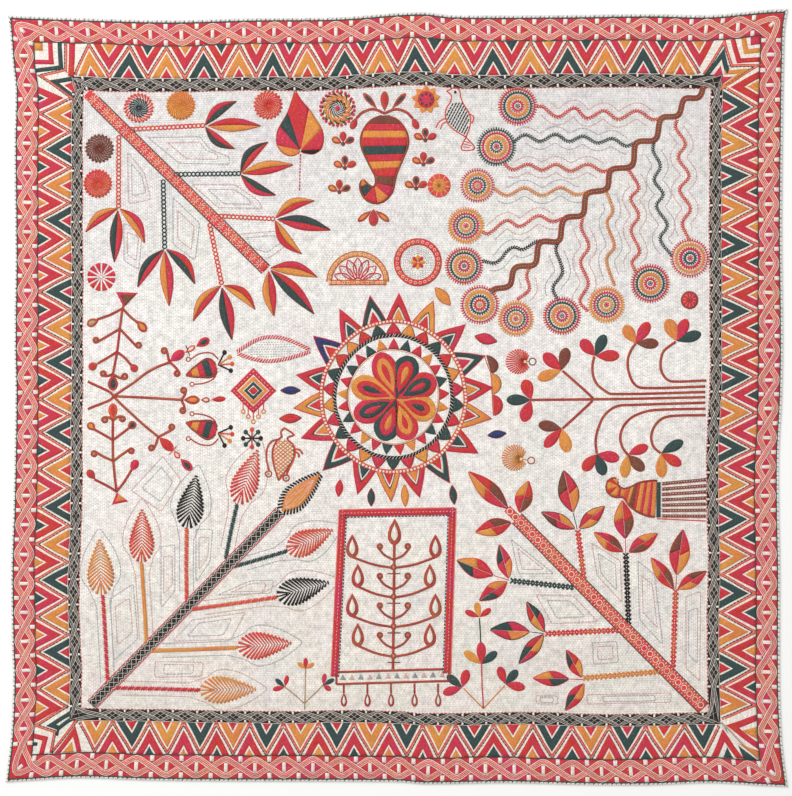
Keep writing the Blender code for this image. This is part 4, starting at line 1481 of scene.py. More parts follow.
side_tree = Stitching("side_tree_right", measured=True)
SIDE_STEMS = (
    ((334, 20), (297, 19), (290, 22.5), (285, 32), (285, 43.5), (288.5, 52.5), (301, 62)),
    ((333, 13.5), (264, 12), (256, 16.5), (250.5, 28), (249, 41), (252, 51.5), (257.5, 60)),
    ((333, 7.5), (231, 5.5), (223.5, 9.5), (215.5, 16.5), (211.5, 26), (211, 37.5), (213, 46)),
    ((333, 2), (240, 0), (144, -1)),
    ((333, -4), (254.5, -6.5), (237, -8), (224, -17.5), (217, -32.5), (214.5, -44.5), (215.5, -59)),
    ((333, -10.5), (278, -12), (264, -15), (252, -21), (244, -30.5), (241, -42), (243.5, -52.5), (249, -60)),
    ((333.5, -17.5), (296, -18.5), (285, -22), (277, -31.5), (274.5, -42), (277, -51.5), (284.5, -58.5)),
    ((211.5, 1), (195, 16), (178.5, 30.5)), ((211, -2), (195, -17), (178.5, -32)),
)
for points in SIDE_STEMS:
    stem(side_tree, points)
SIDE_PETALS = (  # base, then tip, width and thread of its three petals
    ((302, 62.5), ((292, 86.5), 15.0, "ochre"), ((313, 86.5), 13.0, "crimson"), ((328.5, 71), 12.5, "green")),
    ((258, 60), ((245.5, 79.5), 13.5, "ochre"), ((272, 83), 13.0, "crimson"), ((282.5, 60), 12.0, "brown")),
    ((214, 46.5), ((198.5, 64), 13.5, "crimson"), ((224.5, 69.5), 12.5, "green"), ((240, 47), 13.0, "crimson")),
    ((177.5, 31), ((158, 49), 14.0, "crimson"), ((183, 55.5), 13.0, "brown"), ((151.5, 22), 12.5, "ochre")),
    ((144.5, -1), ((137.5, 21), 14.0, "crimson"), ((118, -1), 12.5, "green"), ((136, -24.5), 14.0, "crimson")),
    ((178, -32), ((152.5, -27.5), 12.5, "brown"), ((159, -52), 12.0, "crimson"), ((184, -57.5), 14.0, "ochre")),
    ((215.5, -59.5), ((201, -77.5), 13.0, "crimson"), ((223.5, -82.5), 13.0, "green"), ((240, -64.5), 13.0, "crimson")),
    ((249, -60), ((271, -51), 11.5, "crimson"), ((245, -85), 12.5, "ochre"), ((266.5, -77.5), 13.0, "brown")),
    ((285, -58.5), ((309, -45.5), 12.0, "green"), ((307, -71.5), 12.0, "crimson"), ((286, -85), 13.0, "ochre")),
)
for base, *petals in SIDE_PETALS:
    for tip, width, thread in petals:
        petal(side_tree, base, tip, width, thread)
side_tree.finish()

# %% [markdown]
# The plant on the left side is all curls and buds. Each curl is a stem that rolls up at its end.
# Each bud is a drop of satin stitch with a heart of another thread on top of it.

# %% Buds


def bud(work, base, tip, width, heart, rim="madder"):
    """A round-tipped bud with a heart of another thread."""
    base, tip = np.asarray(base, float), np.asarray(tip, float)
    work.shell(*blade(base, tip, width, 0.6, round_tip=True), rim, FILL)
    work.shell(*blade(toward(base, tip, 0.24), toward(base, tip, 0.85), width * 0.56, 0.6, round_tip=True, count=9), heart, OVER)


# %% The plant on the left side
plant_left = Stitching("plant_left", measured=True)
PLANT_STEMS = (  # how the end rolls up, then the path
    (0, (-335, 19), (-307.5, 3), (-335, -11)),
    (0, (-307.5, 3), (-297, 10), (-285, 18), (-273.5, 27), (-261.5, 34), (-246, 40)), (0, (-307.5, 3), (-273.5, 1.5), (-232, -1)),
    (0, (-307.5, 3), (-297, -7.5), (-285, -18.5), (-273.5, -29), (-258, -41.5)),
    (1, (-247, 40.5), (-248.5, 47), (-250, 53)), (-1, (-247, 40.5), (-240, 34), (-236.5, 29)),
    (1, (-234, -1), (-230, 5), (-229, 9)), (-1, (-234, -1), (-231.5, -6), (-230, -12)),
    (1, (-259, -41), (-250, -36.5), (-243, -32.5)), (-1, (-259, -41), (-261, -48), (-264, -54)),
    (0, (-308, 27), (-303.5, 51), (-300.5, 76.5), (-297.5, 98), (-296.5, 101)),
    (0, (-308, -23.5), (-308, -44.5), (-307.5, -67), (-304, -101)),
    (0, (-303.5, 51), (-313, 45), (-324, 38.5)), (0, (-303.5, 51), (-295, 44.5), (-288.5, 37)),
    (-1, (-300.5, 76), (-312, 69), (-325, 61.5)), (1, (-300.5, 76), (-291, 66), (-282, 56.5)),
    (0, (-297.5, 98), (-311, 91), (-325, 86)), (0, (-297.5, 98), (-289, 89), (-281, 82.5)),
    (0, (-308, -44.5), (-319, -38), (-328, -33)), (0, (-308, -44.5), (-298, -37), (-291.5, -32)),
    (1, (-307.5, -67), (-318, -62.5), (-327, -57)), (-1, (-307.5, -67), (-298, -60), (-289.5, -54)),
    (0, (-304, -100), (-315, -93.5), (-328, -87)), (0, (-304, -100), (-296, -90), (-288, -77)),
    (-1, (-308, 27), (-313, 25), (-318.5, 25)), (1, (-308, 27), (-301, 23), (-295.5, 22)),
    (1, (-308, -23), (-312, -20), (-317, -20)), (-1, (-308, -23), (-302, -19), (-297.5, -19)),
)
for roll, *points in PLANT_STEMS:
    stem(plant_left, points, 3.2, roll, 2.5)
PLANT_BUDS = (  # base, tip, width, heart and rim
    ((-246.5, 40.5), (-231, 52), 11.0, "crimson", "crimson"), ((-230, 50), (-219, 57.5), 6.5, "blush", "vermilion"),
    ((-218, 57), (-203.5, 65), 10.0, "green", "crimson"), ((-232, -1), (-214, -1), 10.0, "ochre", "madder"),
    ((-213, -1), (-203, -1), 6.5, "blush", "madder"), ((-202, -1), (-186, 0.5), 6.5, "crimson", "crimson"),
    ((-258, -41.5), (-243, -55.5), 11.0, "crimson", "crimson"), ((-242, -56), (-236, -64), 6.5, "blush", "vermilion"),
    ((-235, -64.5), (-222.5, -77), 9.5, "green", "crimson"), ((-308, 27), (-308, 9), 11.5, "green", "madder"),
    ((-324, 38.5), (-334, 33), 9.5, "crimson", "madder"), ((-289, 38), (-282, 30), 9.0, "crimson", "madder"),
    ((-323, 86), (-336, 80), 9.5, "tan", "madder"), ((-282, 85), (-272, 73), 10.0, "ochre", "madder"),
    ((-308, -23.5), (-308, -4.5), 10.5, "crimson", "vermilion"), ((-327, -34), (-335, -26), 9.0, "ochre", "madder"),
    ((-292, -32.5), (-283.5, -25), 9.5, "green", "madder"), ((-327, -87), (-335.5, -77), 9.0, "crimson", "madder"),
    ((-288.5, -78), (-281.5, -66), 9.5, "crimson", "crimson"),
)
for base, tip, width, heart, rim in PLANT_BUDS:
    bud(plant_left, base, tip, width, heart, rim)
for foot, thread in ((((-296.5, 99), (-305, 116), (-281, 115)), "brown"), (((-304, -101), (-309.5, -114.5), (-291, -111)), "ochre")):
    small_triangle(plant_left, np.array(foot, float), 0.0, "crimson")
    small_triangle(plant_left, np.array(foot, float), 2.4, thread, OVER)
for start, end, thread in (((-229, 58), (-225, 47), "black"), ((-247, -60), (-239, -51), "vermilion")):
    plant_left.line(evenly((start, end), 3.0), 1.3, thread, LINE)
plant_left.finish()

# %% [markdown]
# Whirls are rounds of curved stitches that turn like a wheel. They fill the spaces beside the
# upper left tree and the upper border, with a rosette, a few discs and a big heart-shaped leaf.

# %% Whirls, discs and rosettes


def disc(work, centre, radius, thread, top=FILL):
    """A filled circle."""
    turns = np.linspace(4, 176, 13 if radius > 3 else 7)
    work.shell(polar(centre, radius, -turns), polar(centre, radius, turns), thread, top)


def whirl(work, centre, inner, outer, count, twist, width, thread, top=OVER, turn=0.0):
    """Curved stitches from an inner to an outer circle; the outer ends are turned by twist degrees."""
    share = np.linspace(0, 1, 6)
    for k in range(count):
        path = polar(centre, inner + (outer - inner) * share, turn + 360 * k / count + twist * share)
        work.strip(path, width * (0.22 + 0.78 * share), thread, top, section=ROUND)


def rosette(work, centre, radius, petals, thread, gap):
    """Wedges side by side with a little cloth showing between them."""
    steps = np.linspace(0, 1, 6)
    reach = 1.5 + (radius - 1.5) * steps
    for k in range(petals):
        open_by = np.degrees(gap / 2 / reach)
        sides = [polar(centre, reach, 360 * (k + edge) / petals + sign * open_by) for edge, sign in ((0, 1), (1, -1))]
        crown = polar(centre, radius + 1.0, 360 * (k + 0.5) / petals)
        work.shell(*(np.vstack((side, crown + (side[-1] - crown) * 0.55)) for side in sides), thread, FILL)


roundels = Stitching("roundels", measured=True)
WHIRLS = (  # centre, inner and outer radius, count, twist, width, thread
    ((-280, 315), 9.4, 15.8, 24, -20, 4.3, "vermilion"), ((-280, 315), 0.6, 10.4, 18, -55, 3.1, "green"),
    ((-234.5, 317.5), 0.6, 15.5, 26, -55, 3.8, "ochre"), ((-322.5, 271), 0.6, 15.3, 22, -55, 4.1, "brown"),
    ((-324.3, 233), 0.6, 15.3, 24, -55, 3.9, "vermilion"), ((-140, 318), 0.6, 15.4, 22, 55, 4.1, "vermilion"),
    ((-65, 314.3), 7.0, 15.3, 13, -55, 6.0, "ochre"), ((-65, 314.3), 3.0, 9.5, 12, -70, 2.6, "black"),
)
for centre, inner, outer, count, twist, width, thread in WHIRLS:
    whirl(roundels, centre, inner, outer, count, twist, width, thread)
whirl(roundels, (-65, 314.3), 13.6, 17.4, 15, -17, 4.4, "green")
for k in range(26):
    disc(roundels, polar((-65, 314.3), 18.4, 360 * k / 26), 1.9, "crimson")
disc(roundels, (-65, 314.3), 2.8, "crimson", OVER)
rosette(roundels, (-320.5, 132), 15.0, 12, "crimson", 1.4)

disc(roundels, (45, 231), 12.8, "vermilion")
spokes(roundels, (45, 231), 6.5, 12.8, 11, 1.5, "blush")
disc(roundels, (45, 231), 7.4, "ochre", OVER)
spokes(roundels, (45, 231), 1.6, 5.8, 10, 1.6, "brown", top=LINE)
disc(roundels, (45, 231), 2.2, "madder", LINE)

for k in range(9):
    turn = 40 * k - 2
    roundels.shell(*blade(polar((31, 324), 6.0, turn), polar((31, 324), 16.0, turn), 8.6, 0.35, count=9), "ochre", FILL)
disc(roundels, (31, 324), 9.4, "crimson", OVER)
for k in range(8):
    disc(roundels, polar((31, 324), 6.2, 45 * k), 1.7, "green", LINE)

disc(roundels, (316, 107), 9.8, "brown")
disc(roundels, (316, 107), 8.6, "crimson", OVER)
spokes(roundels, (316, 107), 3.6, 7.4, 10, 1.4, "white", top=LINE)
disc(roundels, (316, 107), 2.0, "brown", LINE)
roundels.finish()

# %% The heart-shaped leaf
heart_leaf = Stitching("heart_leaf", measured=True)
LEAF_NOTCH = np.array((-105, 269.0))
LEAF_OUTLINE = (
    (-106, 266.5), (-113, 263.2), (-121, 264.2), (-127.5, 270), (-131, 278), (-130, 289.5), (-127, 296), (-123, 303),
    (-119, 310), (-115.5, 320), (-111, 334.5), (-104, 323.5), (-96, 314), (-87.5, 301.5), (-81.5, 291.5),
    (-80, 280), (-83, 270), (-91, 265), (-99, 265.5), (-104, 267),
)
LEAF_PARTS = ((0.0, 3.6, "ochre"), (3.6, 5.9, "crimson"), (5.9, 8.0, "green"), (8.0, 12.0, "crimson"),
              (12.0, 13.9, "ochre"), (13.9, 16.0, "crimson"), (16.0, 19.0, "black"))
outline = np.vstack((curve(LEAF_OUTLINE[:11], 2.0), curve(LEAF_OUTLINE[10:], 2.0)[1:]))
run = np.concatenate(((0.0,), np.cumsum(np.linalg.norm(np.diff(LEAF_OUTLINE, axis=0), axis=1))))
for first, last, thread in LEAF_PARTS:
    shares = np.interp((first, last), np.arange(len(run)), run) / run[-1]
    rim = along_path(outline, np.linspace(*shares, 3 + int(28 * np.ptp(shares))))
    heart_leaf.shell(rim, LEAF_NOTCH + (rim - LEAF_NOTCH) * 0.03, thread, FILL)
heart_leaf.line(outline, 1.3, "madder", OVER)
running_stitch(heart_leaf, evenly(((-105, 265), (-105.5, 248), (-106, 226)), 2.0), "crimson", 2.6, 1.2, 1.8, OVER)
heart_leaf.finish()

# %% [markdown]
# Between the big motifs the maker scattered single leaves, two small flowering plants, two shell
# fans and a few birds, so that no part of the ground is left empty.

# %% Small scattered motifs
scatter = Stitching("scattered_motifs", measured=True)
SINGLE_LEAVES = (  # base, tip, width, thread, outline
    ((-127, 9.3), (-104.5, 9.3), 8.6, "navy", "brown"), ((-128.5, -21.5), (-103.5, -20.5), 10.0, "crimson", "brown"),
    ((-62, -87), (-64, -106), 8.0, "crimson", "crimson"), ((-28.5, -96), (-28.5, -116.5), 8.0, "green", "crimson"),
    ((7.5, -92), (8.5, -117), 8.0, "ochre", "vermilion"), ((59, -93), (61.5, -114.5), 8.0, "green", "crimson"),
    ((97, -39.5), (118, -37), 8.4, "navy", "brown"), ((108, 62), (83, 68), 11.5, "crimson", "brown"),
    ((57.5, 101), (40.5, 121), 11.5, "ochre", "madder"),
)
for base, tip, width, thread, outline in SINGLE_LEAVES:
    left, right = blade(base, tip, width, 0.5)
    scatter.shell(left, right, thread, FILL)
    for edge in (left, right):
        scatter.line(edge, 1.2, outline, FILL + 0.1)

FLOWER_STALKS = (  # thread and path
    ("tan", (-100.5, -336), (-100, -318), (-99.5, -292)), ("tan", (-101.5, -329), (-110, -321), (-122, -311.5)),
    ("tan", (-100.5, -329), (-90, -319), (-80.5, -309.5)), ("crimson", (93, -335), (91.5, -310), (91, -287)),
    ("ochre", (93, -335), (82, -324), (71.5, -313)), ("ochre", (93, -335), (105, -322), (116, -310)),
    ("green", (90, -263), (89.5, -250), (88.5, -237)),
)
for thread, *points in FLOWER_STALKS:
    scatter.line(evenly(points, 3.0), 2.0, thread, OVER)
FLOWER_PETALS = (  # base of the flower, then width, thread and tip of each petal
    ((-99.5, -292), (5.5, "crimson", (-99.3, -280)), (5.0, "ochre", (-108, -285)), (5.0, "ochre", (-90.5, -286))),
    ((-122, -311.5), (5.5, "crimson", (-119, -299)), (6.0, "crimson", (-135, -314.5)), (5.5, "green", (-132, -303))),
    ((-80.5, -309.5), (5.5, "crimson", (-78.5, -297)), (6.0, "crimson", (-72, -315)), (5.5, "green", (-68.5, -303))),
    ((91, -287), (10.7, "crimson", (90.3, -263)), (9.5, "ochre", (72, -273)), (9.5, "green", (107.5, -273.5))),
    ((88.5, -236), (7.0, "crimson", (73, -229.5)), (7.0, "crimson", (101, -227)), (8.0, "ochre", (85.5, -220))),
    ((70, -312), (9.5, "green", (53.5, -299)), (10.5, "crimson", (75.5, -293)), (10.0, "crimson", (49, -318.5))),
    ((116.5, -308.5), (10.0, "crimson", (110, -289.5)), (10.0, "green", (130, -293.5)), (10.5, "crimson", (138, -312.5))),
)
for base, *petals in FLOWER_PETALS:
    for width, thread, tip in petals:
        petal(scatter, base, tip, width, thread)

SHELL_FANS = (  # centre, focus, radius, thread, ring and its thread
    ((130.5, 40.5), (139, 40.5), 13.5, "vermilion", (146, 40.5), "brown"),
    ((126.5, -63.5), (134.5, -65), 14.0, "ochre", (144.5, -66.5), "madder"),
)
for centre, focus, radius, thread, ring, ring_thread in SHELL_FANS:
    for turn in np.linspace(-238, 58, 25):
        tip = polar(centre, radius, turn)
        path = along_path(np.array((toward(focus, tip, 0.12), tip)), np.linspace(0, 1, 5))
        scatter.strip(path, np.linspace(0.7, 2.6, 5), thread, OVER, section=ROUND)
    scatter.line(circle(ring, 3.8, 12), 1.7, ring_thread, OVER, closed=True)
    scatter.line(evenly((focus, toward(focus, ring, 0.5)), 2.0), 1.5, thread, OVER)
scatter.finish()

# %% [markdown]
# The birds are line drawings: an outline in back stitch, a body filled with rows of slanted
# stitches or a small net, an eye, two legs and a tail.

# %% Birds
birds = Stitching("birds", measured=True)
BIRD_LINES = (
    ((53, 333), (58, 335.5), (62.5, 337), (67, 334), (68.5, 326), (72, 318), (77, 310), (79, 303), (78, 294), (74, 283.5)),
    ((53, 333), (58, 329), (57.5, 322), (53, 315), (51.5, 307.5), (55, 297.5), (63, 290), (74, 283.5)),
    ((74, 283.5), (83.5, 271), (69, 270), (74, 283.5)),
    ((52.5, 304), (45, 300), (41.5, 293.5)), ((54, 300.5), (48.5, 297.5), (46.5, 292)), ((77, 309), (82.5, 305), (80.5, 298.5)),
)
for points in BIRD_LINES:
    birds.line(curve(points, 2.5), 2.0, "vermilion", OVER)
body = ((57, 321), (70.5, 323), (77, 310), (79, 300), (74, 283.5), (63, 290), (54, 298.5), (51.5, 308))
for row in hatch(body, 62, 2.9, 0.07):
    running_stitch(birds, row, "black", 3.0, 0.6, 2.0, OVER)
disc(birds, (62.5, 332), 1.6, "black", OVER)
for start, end in (((71, 276), (80, 274)), ((72, 279), (78, 277)), ((71, 273), (78, 272))):
    birds.line(evenly((start, end), 2.0), 1.3, "vermilion", OVER)

BIRD_WITH_NET = (
    ((-125, -41), (-126.5, -36), (-123, -31.5), (-118.5, -33.5), (-112, -39), (-118.5, -41.5), (-119, -44)),
    ((-125, -41), (-131, -46), (-135, -56), (-134, -70), (-128.5, -88)),
    ((-119, -44), (-112.5, -50), (-111, -61), (-118, -74), (-128.5, -88)),
    ((-127, -43.5), (-136, -46), (-141, -54), (-141.5, -66), (-138.5, -78)), ((-111.5, -52), (-112, -64), (-117, -75), (-120.5, -83)),
    ((-111, -54), (-105.5, -55), (-102.5, -59.5)), ((-111, -57), (-107, -59), (-106.5, -63)),
)
for points in BIRD_WITH_NET:
    stem(birds, points, 2.3, thread="vermilion")
for place in ((-139.5, -81), (-120.5, -85.5)):
    birds.line(circle(place, 3.4, 10), 2.2, "madder", OVER, closed=True)
    disc(birds, place, 1.4, "tan", OVER)
body = ((-122, -42.5), (-131, -46), (-135, -56), (-134, -70), (-128.5, -88), (-118, -74), (-111, -61), (-112.5, -50))
for angle in (40, -40):
    for row in hatch(body, angle, 3.2, 0.05):
        birds.line(row, 1.7, "ochre", OVER)
birds.finish()

# %% [markdown]
# In the top middle hangs a big paisley in cross stripes with small flowers on both sides of it, and
# another lies on the right, with rows of rope stitch behind it. A paisley is drawn along a bent
# middle line that gives its width at every point: round at its foot, then narrow, with a hooked tip.

# %% Paisleys


def paisley(work, points, foot, stripes):
    """A striped paisley: each point is x, y and width in mm, and foot is the length of its round end."""
    points = np.array(points, float)
    run = np.concatenate(((0.0,), np.cumsum(np.linalg.norm(np.diff(points[:, :2], axis=0), axis=1))))
    steps = np.append(np.arange(0.2, run[-1] - 1, np.clip(points[0, 2] / 16, 0.8, 1.5)), run[-1])
    x, y, widths = (read_curve(np.stack((run, column), 1), steps) for column in points.T)
    widths = widths * np.sqrt(1 - (1 - np.minimum(steps / foot, 1)) ** 2)
    spine = np.stack((x, y), 1)
    left, right = edges(spine, widths)
    bounds = np.linspace(0, len(spine) - 1, len(stripes) + 1).round().astype(int)
    for first, last, thread in zip(bounds[:-1], bounds[1:], stripes):
        work.shell(left[first:last + 1], right[first:last + 1], thread, FILL)
    for grow, thick, thread in ((1.4, 2.2, "madder"), (3.4, 1.2, "brown")):
        for edge in edges(spine, widths + grow * np.minimum(widths / 5, 1)):
            work.line(edge[::2], thick, thread, OVER)


def stamens(work, foot, turns, length, threads):
    """Short straight stitches in a fan, each with a dot at its end."""
    for turn, thread in zip(turns, threads):
        end = polar(foot, length, turn)
        work.line(evenly((foot, end), 3.0), 2.5, thread, OVER)
        disc(work, end, 2.7, thread)


paisleys = Stitching("paisleys", measured=True)
CROSS_STRIPES = ("brown", "crimson", "ochre", "crimson", "green", "crimson", "ochre")
paisley(paisleys, (
    (-14, 307, 49), (-14, 275, 49), (-13.5, 256, 34), (-13, 240, 20), (-15, 228, 18), (-22, 221, 17), (-30, 222.5, 14),
    (-36, 230, 8), (-38, 239, 0.6),
), 31, CROSS_STRIPES + ("crimson",) + CROSS_STRIPES[:4] + ("green", "ochre"))
SMALL_FLOWERS = ((-59, 276), (-57, 250), (-63, 224), (30, 280), (28, 254), (20, 228))
for k, foot in enumerate(SMALL_FLOWERS):
    for turn, heart in ((-62, "ochre"), (0, ("crimson", "green")[k % 2]), (62, ("green", "crimson")[k % 2])):
        bud(paisleys, polar(foot, 1.5, turn), polar(foot, 13.5, turn), 8.0, heart)
    disc(paisleys, foot, 2.4, "brown", OVER)
for side in (-1, 1):
    stem(paisleys, ((-14, 309), (-14 + side * 12, 313.5), (-14 + side * 24, 310), (-14 + side * 30, 304)), 3.4)
    bud(paisleys, (-14 + side * 30, 305), (-14 + side * 36, 292), 8.0, "crimson")
    bud(paisleys, (-14 + side * 8, 314), (-14 + side * 23, 331), 7.0, "green")
bud(paisleys, (-14, 311), (-14, 333), 9.5, "crimson")
bud(paisleys, (-26, 206), (-26, 187), 11.0, "crimson")
for side in (-1, 1):
    bud(paisleys, (-26 + side * 2, 204), (-26 + side * 17, 192), 7.0, "ochre")

paisley(paisleys, (
    (280, -108, 37), (274, -107.6, 37), (267, -106.6, 34), (260, -105.4, 29), (254, -104.2, 22), (248.5, -102.6, 12),
    (244, -101.6, 7), (238.5, -100.6, 10), (233.5, -97.5, 12.5), (233.5, -91, 10.5), (239.5, -86.5, 0.6),
), 0.1, ("ochre", "crimson") * 3 + ("brown", "ochre", "vermilion", "ochre") + ("crimson", "ochre") * 3)
paisleys.strip(evenly(((282.4, -90), (282.4, -128)), 4.0), 5.0, "green", OVER)
for k in range(7):
    row = evenly(((286, -91.5 - 5.8 * k), (334, -87 - 6.6 * k)), 4.0)
    paisleys.strip(row, 3.4, "brown", FILL)
    running_stitch(paisleys, row, "white", 1.3, 1.7, 2.2, OVER)
    paisleys.line(row - (0, 2.0), 0.9, "vermilion", FILL)
paisleys.line(evenly(((281, -129.5), (334, -132)), 4.0), 1.8, "vermilion", OVER)
paisleys.finish()

# %% [markdown]
# Below the paisley lie a half lotus and a round with a ring of small white rings on red. Their
# grounds are filled with rows of tiny running stitches in grey and pink, as kantha makers do with
# leftover thread. Beside the medallion there are a diamond tile with tassels, a long mango leaf in
# rope stitch and two striped buds.

# %% Half lotus, ringed round, tile and buds


def ringed(work, path, width, thread, pitch=5.0):
    """A strip with small white rings along its middle and a darker thread on each edge."""
    work.strip(path, width, thread, FILL)
    for edge in edges(path, width):
        work.line(edge, 1.2, "madder", OVER)
    for place in evenly(path, pitch)[:-1]:
        work.line(circle(place, 1.45, 7), 1.5, "white", OVER, closed=True)


fillings = Stitching("filled_motifs", measured=True)
LOTUS_FOOT = np.array((-43.0, 126.0))
ringed(fillings, arc(LOTUS_FOOT, 31.0, -88, 88, 40), 5.4, "ochre")
ringed(fillings, evenly((LOTUS_FOOT + (-31, 0), LOTUS_FOOT + (31, 0)), 4.0), 5.0, "ochre")
for k in range(7):
    turn = -72 + 24 * k
    left, right = blade(polar(LOTUS_FOOT, 4, turn), polar(LOTUS_FOOT, 27, turn), 9.6, 0.55)
    for edge in (left, right):
        fillings.line(edge, 2.0, "vermilion" if k % 2 else "crimson", OVER)
    for row in hatch(np.vstack((left, right[::-1])), 90 - turn, 2.3, 0.15):
        running_stitch(fillings, row, "grey", 1.8, 1.2, 1.3)

ROUND_MIDDLE = np.array((22.0, 148.0))
ringed(fillings, arc(ROUND_MIDDLE, 22.4, 0, 360, 61), 6.4, "vermilion", 5.2)
for k, radius in enumerate((9.5, 11.5, 13.5, 15.5, 17.5)):
    running_stitch(fillings, arc(ROUND_MIDDLE, radius, 0, 360, 40), ("grey", "rose", "grey")[k % 3], 1.6, 1.4, 1.4)
for k in range(8):
    petal(fillings, polar(ROUND_MIDDLE, 0.5, 45 * k), polar(ROUND_MIDDLE, 8.0, 45 * k), 4.4, "crimson" if k % 2 else "ochre")

TILE_MIDDLE = np.array((-156.0, 9.0))
TILE_RINGS = (25, "crimson"), (17.5, "white"), (16.3, "ochre"), (11.5, "white"), (10.5, "green"), (6.2, "white"), (5.3, "crimson")
for k, (reach, thread) in enumerate(TILE_RINGS):
    upper = evenly(TILE_MIDDLE + np.array(((reach, 0), (0, reach), (-reach, 0))), 3.0)
    fillings.shell(upper, upper * (1, -1) + (0, 2 * TILE_MIDDLE[1]), thread, FILL + 0.12 * k)
corners = polar(TILE_MIDDLE, 21.0, np.arange(0, 361, 90))
running_stitch(fillings, evenly(corners, 3.0), "blush", 1.4, 2.8, 1.5, 1.1)
for k in range(-2, 3):
    top = TILE_MIDDLE + np.array((k * 5.5, -24.5 + 5.5 * abs(k)))
    fillings.line(evenly((top, top + (0, -7)), 2.0), 1.6, "vermilion", OVER)
    fillings.line(circle(top + (0, -9), 2.1, 8), 1.8, "ochre", OVER, closed=True)
STAR = (-157.5, -42.5)
stamens(fillings, STAR, range(0, 360, 45), 9.5, ("vermilion", "green", "black", "green") * 2)

for sign in (1, -1):
    paisley(fillings, (
        (-196, 36.0 * sign, 17), (-206, 33.0 * sign, 18), (-217, 29.5 * sign, 10), (-229, 25.5 * sign, 0.6),
    ), 9, ("crimson", "green", "crimson", "ochre", "crimson"))
    for curl in (((-194, 43), (-201, 49.5), (-214, 49), (-224, 43)), ((-195, 30), (-199, 22), (-210, 17), (-220, 16))):
        curl = np.array(curl, float) * (1, sign)
        fillings.line(curve(curl), 2.6, "madder", FILL)
        fillings.line(circle(curl[-1] - (2.4, 0), 2.3, 9), 2.0, "madder", FILL, closed=True)
    stamens(fillings, (-194, 37.0 * sign), (90 - sign * (19 + 44), 90 - sign * 34, 90 - sign * 4, 90 + sign * 25), 15.0,
            ("black", "ochre", "vermilion", "black"))

lens_left, lens_right = blade((-175, 50), (-93, 52), 26.0, 0.45, bend=0.04, count=21)
for edge in (lens_left, lens_right):
    fillings.strip(edge, 4.6, "crimson", FILL)
    rope(fillings, edge, 4.0, ("white",), 3.0, top=OVER, slant=1.0)
for row in hatch(np.vstack((lens_left, lens_right[::-1])), 1, 2.6, 0.22):
    running_stitch(fillings, row, "grey", 1.5, 1.4, 1.4)

fillings.finish()

# %% [markdown]
# The red frame below the medallion holds a small tree of buds: open drops in outline stitch on
# thin stems, one pair above the other. A fringe of drops hangs from its lower bar.

# %% The framed panel
panel = Stitching("framed_panel", measured=True)
FRAME = ((-68, -297), (-59.5, -123.5), (59.5, -121.5), (54, -293.5))
for a, b in zip(FRAME[:-1], FRAME[1:]):
    side = evenly((toward(a, b, -0.02), toward(a, b, 1.02)), 4.0)
    outside, inside_edge = edges(side, 7.6)
    panel.strip(side, 7.8, "crimson", FILL)
    panel.line(outside, 2.2, "salmon", OVER)
    running_stitch(panel, side, "blush", 1.6, 2.1, 1.7, OVER)
    running_stitch(panel, side[:, :] + (inside_edge - side) * 1.2, "green", 2.4, 1.3, 1.8, OVER)
BAR = ((-66, -295.5), (56, -292), (56, -305), (-66, -308.5))
stem(panel, (BAR[0], (-5, -293.7), BAR[1]), 2.8, thread="madder")
stem(panel, (BAR[3], (-5, -306.7), BAR[2]), 2.8, thread="madder")
for a, b in ((BAR[0], BAR[3]), (BAR[1], BAR[2])):
    stem(panel, (a, b), 2.6, thread="madder")
for k in range(12):
    place = toward(BAR[0], BAR[1], (k + 0.7) / 12.5) - (0, 6.5)
    small_triangle(panel, polar(place, 4.0, np.array((240, 0, 120))), 0.0, ("grey", "rose")[k % 2])


def open_drop(work, foot, tip, width):
    """An outlined drop with white cloth showing inside it, round at its foot and pointed at its tip."""
    left, right = blade(tip, foot, width, 0.66, round_tip=True)
    work.shell(left, right, "madder", FILL)
    left, right = blade(toward(tip, foot, 0.2), toward(tip, foot, 0.84), width * 0.52, 0.66, round_tip=True, count=9)
    work.shell(left, right, "white", OVER)
    for edge in (left, right):
        work.line(edge, 1.0, "brown", LINE)


for k in range(5):
    x = -58 + 25.5 * k
    stem(panel, ((x, -308), (x, -318)), 2.4, thread="madder")
    open_drop(panel, (x, -333), (x, -317), 7.4)
stem(panel, ((-5, -292), (-4, -220), (-3.5, -157)), 3.4, thread="madder")
open_drop(panel, (-3.5, -158), (-3, -129), 15.0)
for k in range(4):
    y = -279 + 32 * k
    for side in (-1, 1):
        reach = 45 if k % 2 else 39
        stem(panel, ((-4.5, y), (-4 + side * reach * 0.5, y + 4), (-4 + side * reach, y + 12)), 3.0, thread="madder")
        open_drop(panel, (-4 + side * reach, y + 11), (-4 + side * reach, y + 37), 14.0)
        stem(panel, ((-4.5, y + 9), (-4 + side * 10, y + 14), (-4 + side * 17, y + 22)), 2.8, side, 2.4, "madder")
    disc(panel, (-4.3, y + 1), 3.6, "madder")
    disc(panel, (-4.3, y + 1), 1.7, "tan", OVER)
    panel.line(evenly(((-11, y - 6), (3, y - 6)), 3.0), 1.8, "brown", OVER)
panel.finish()

# %% [markdown]
# Echo quilting follows the shapes at a little distance, in grey and pale pink running stitch: round
# the leaves and down their stems, beside the waves, and as nested boxes in the gaps between them.

# %% Echo quilting
echoes = Stitching("echo_quilting", measured=True)


def echo(points, thread, closed=False):
    """One row of fine running stitch."""
    points = np.asarray(points, float)
    if closed:
        points = np.vstack((points, points[:1]))
    running_stitch(echoes, evenly(points, 2.5), thread, 3.2, 0.7, 2.3, 0.3)


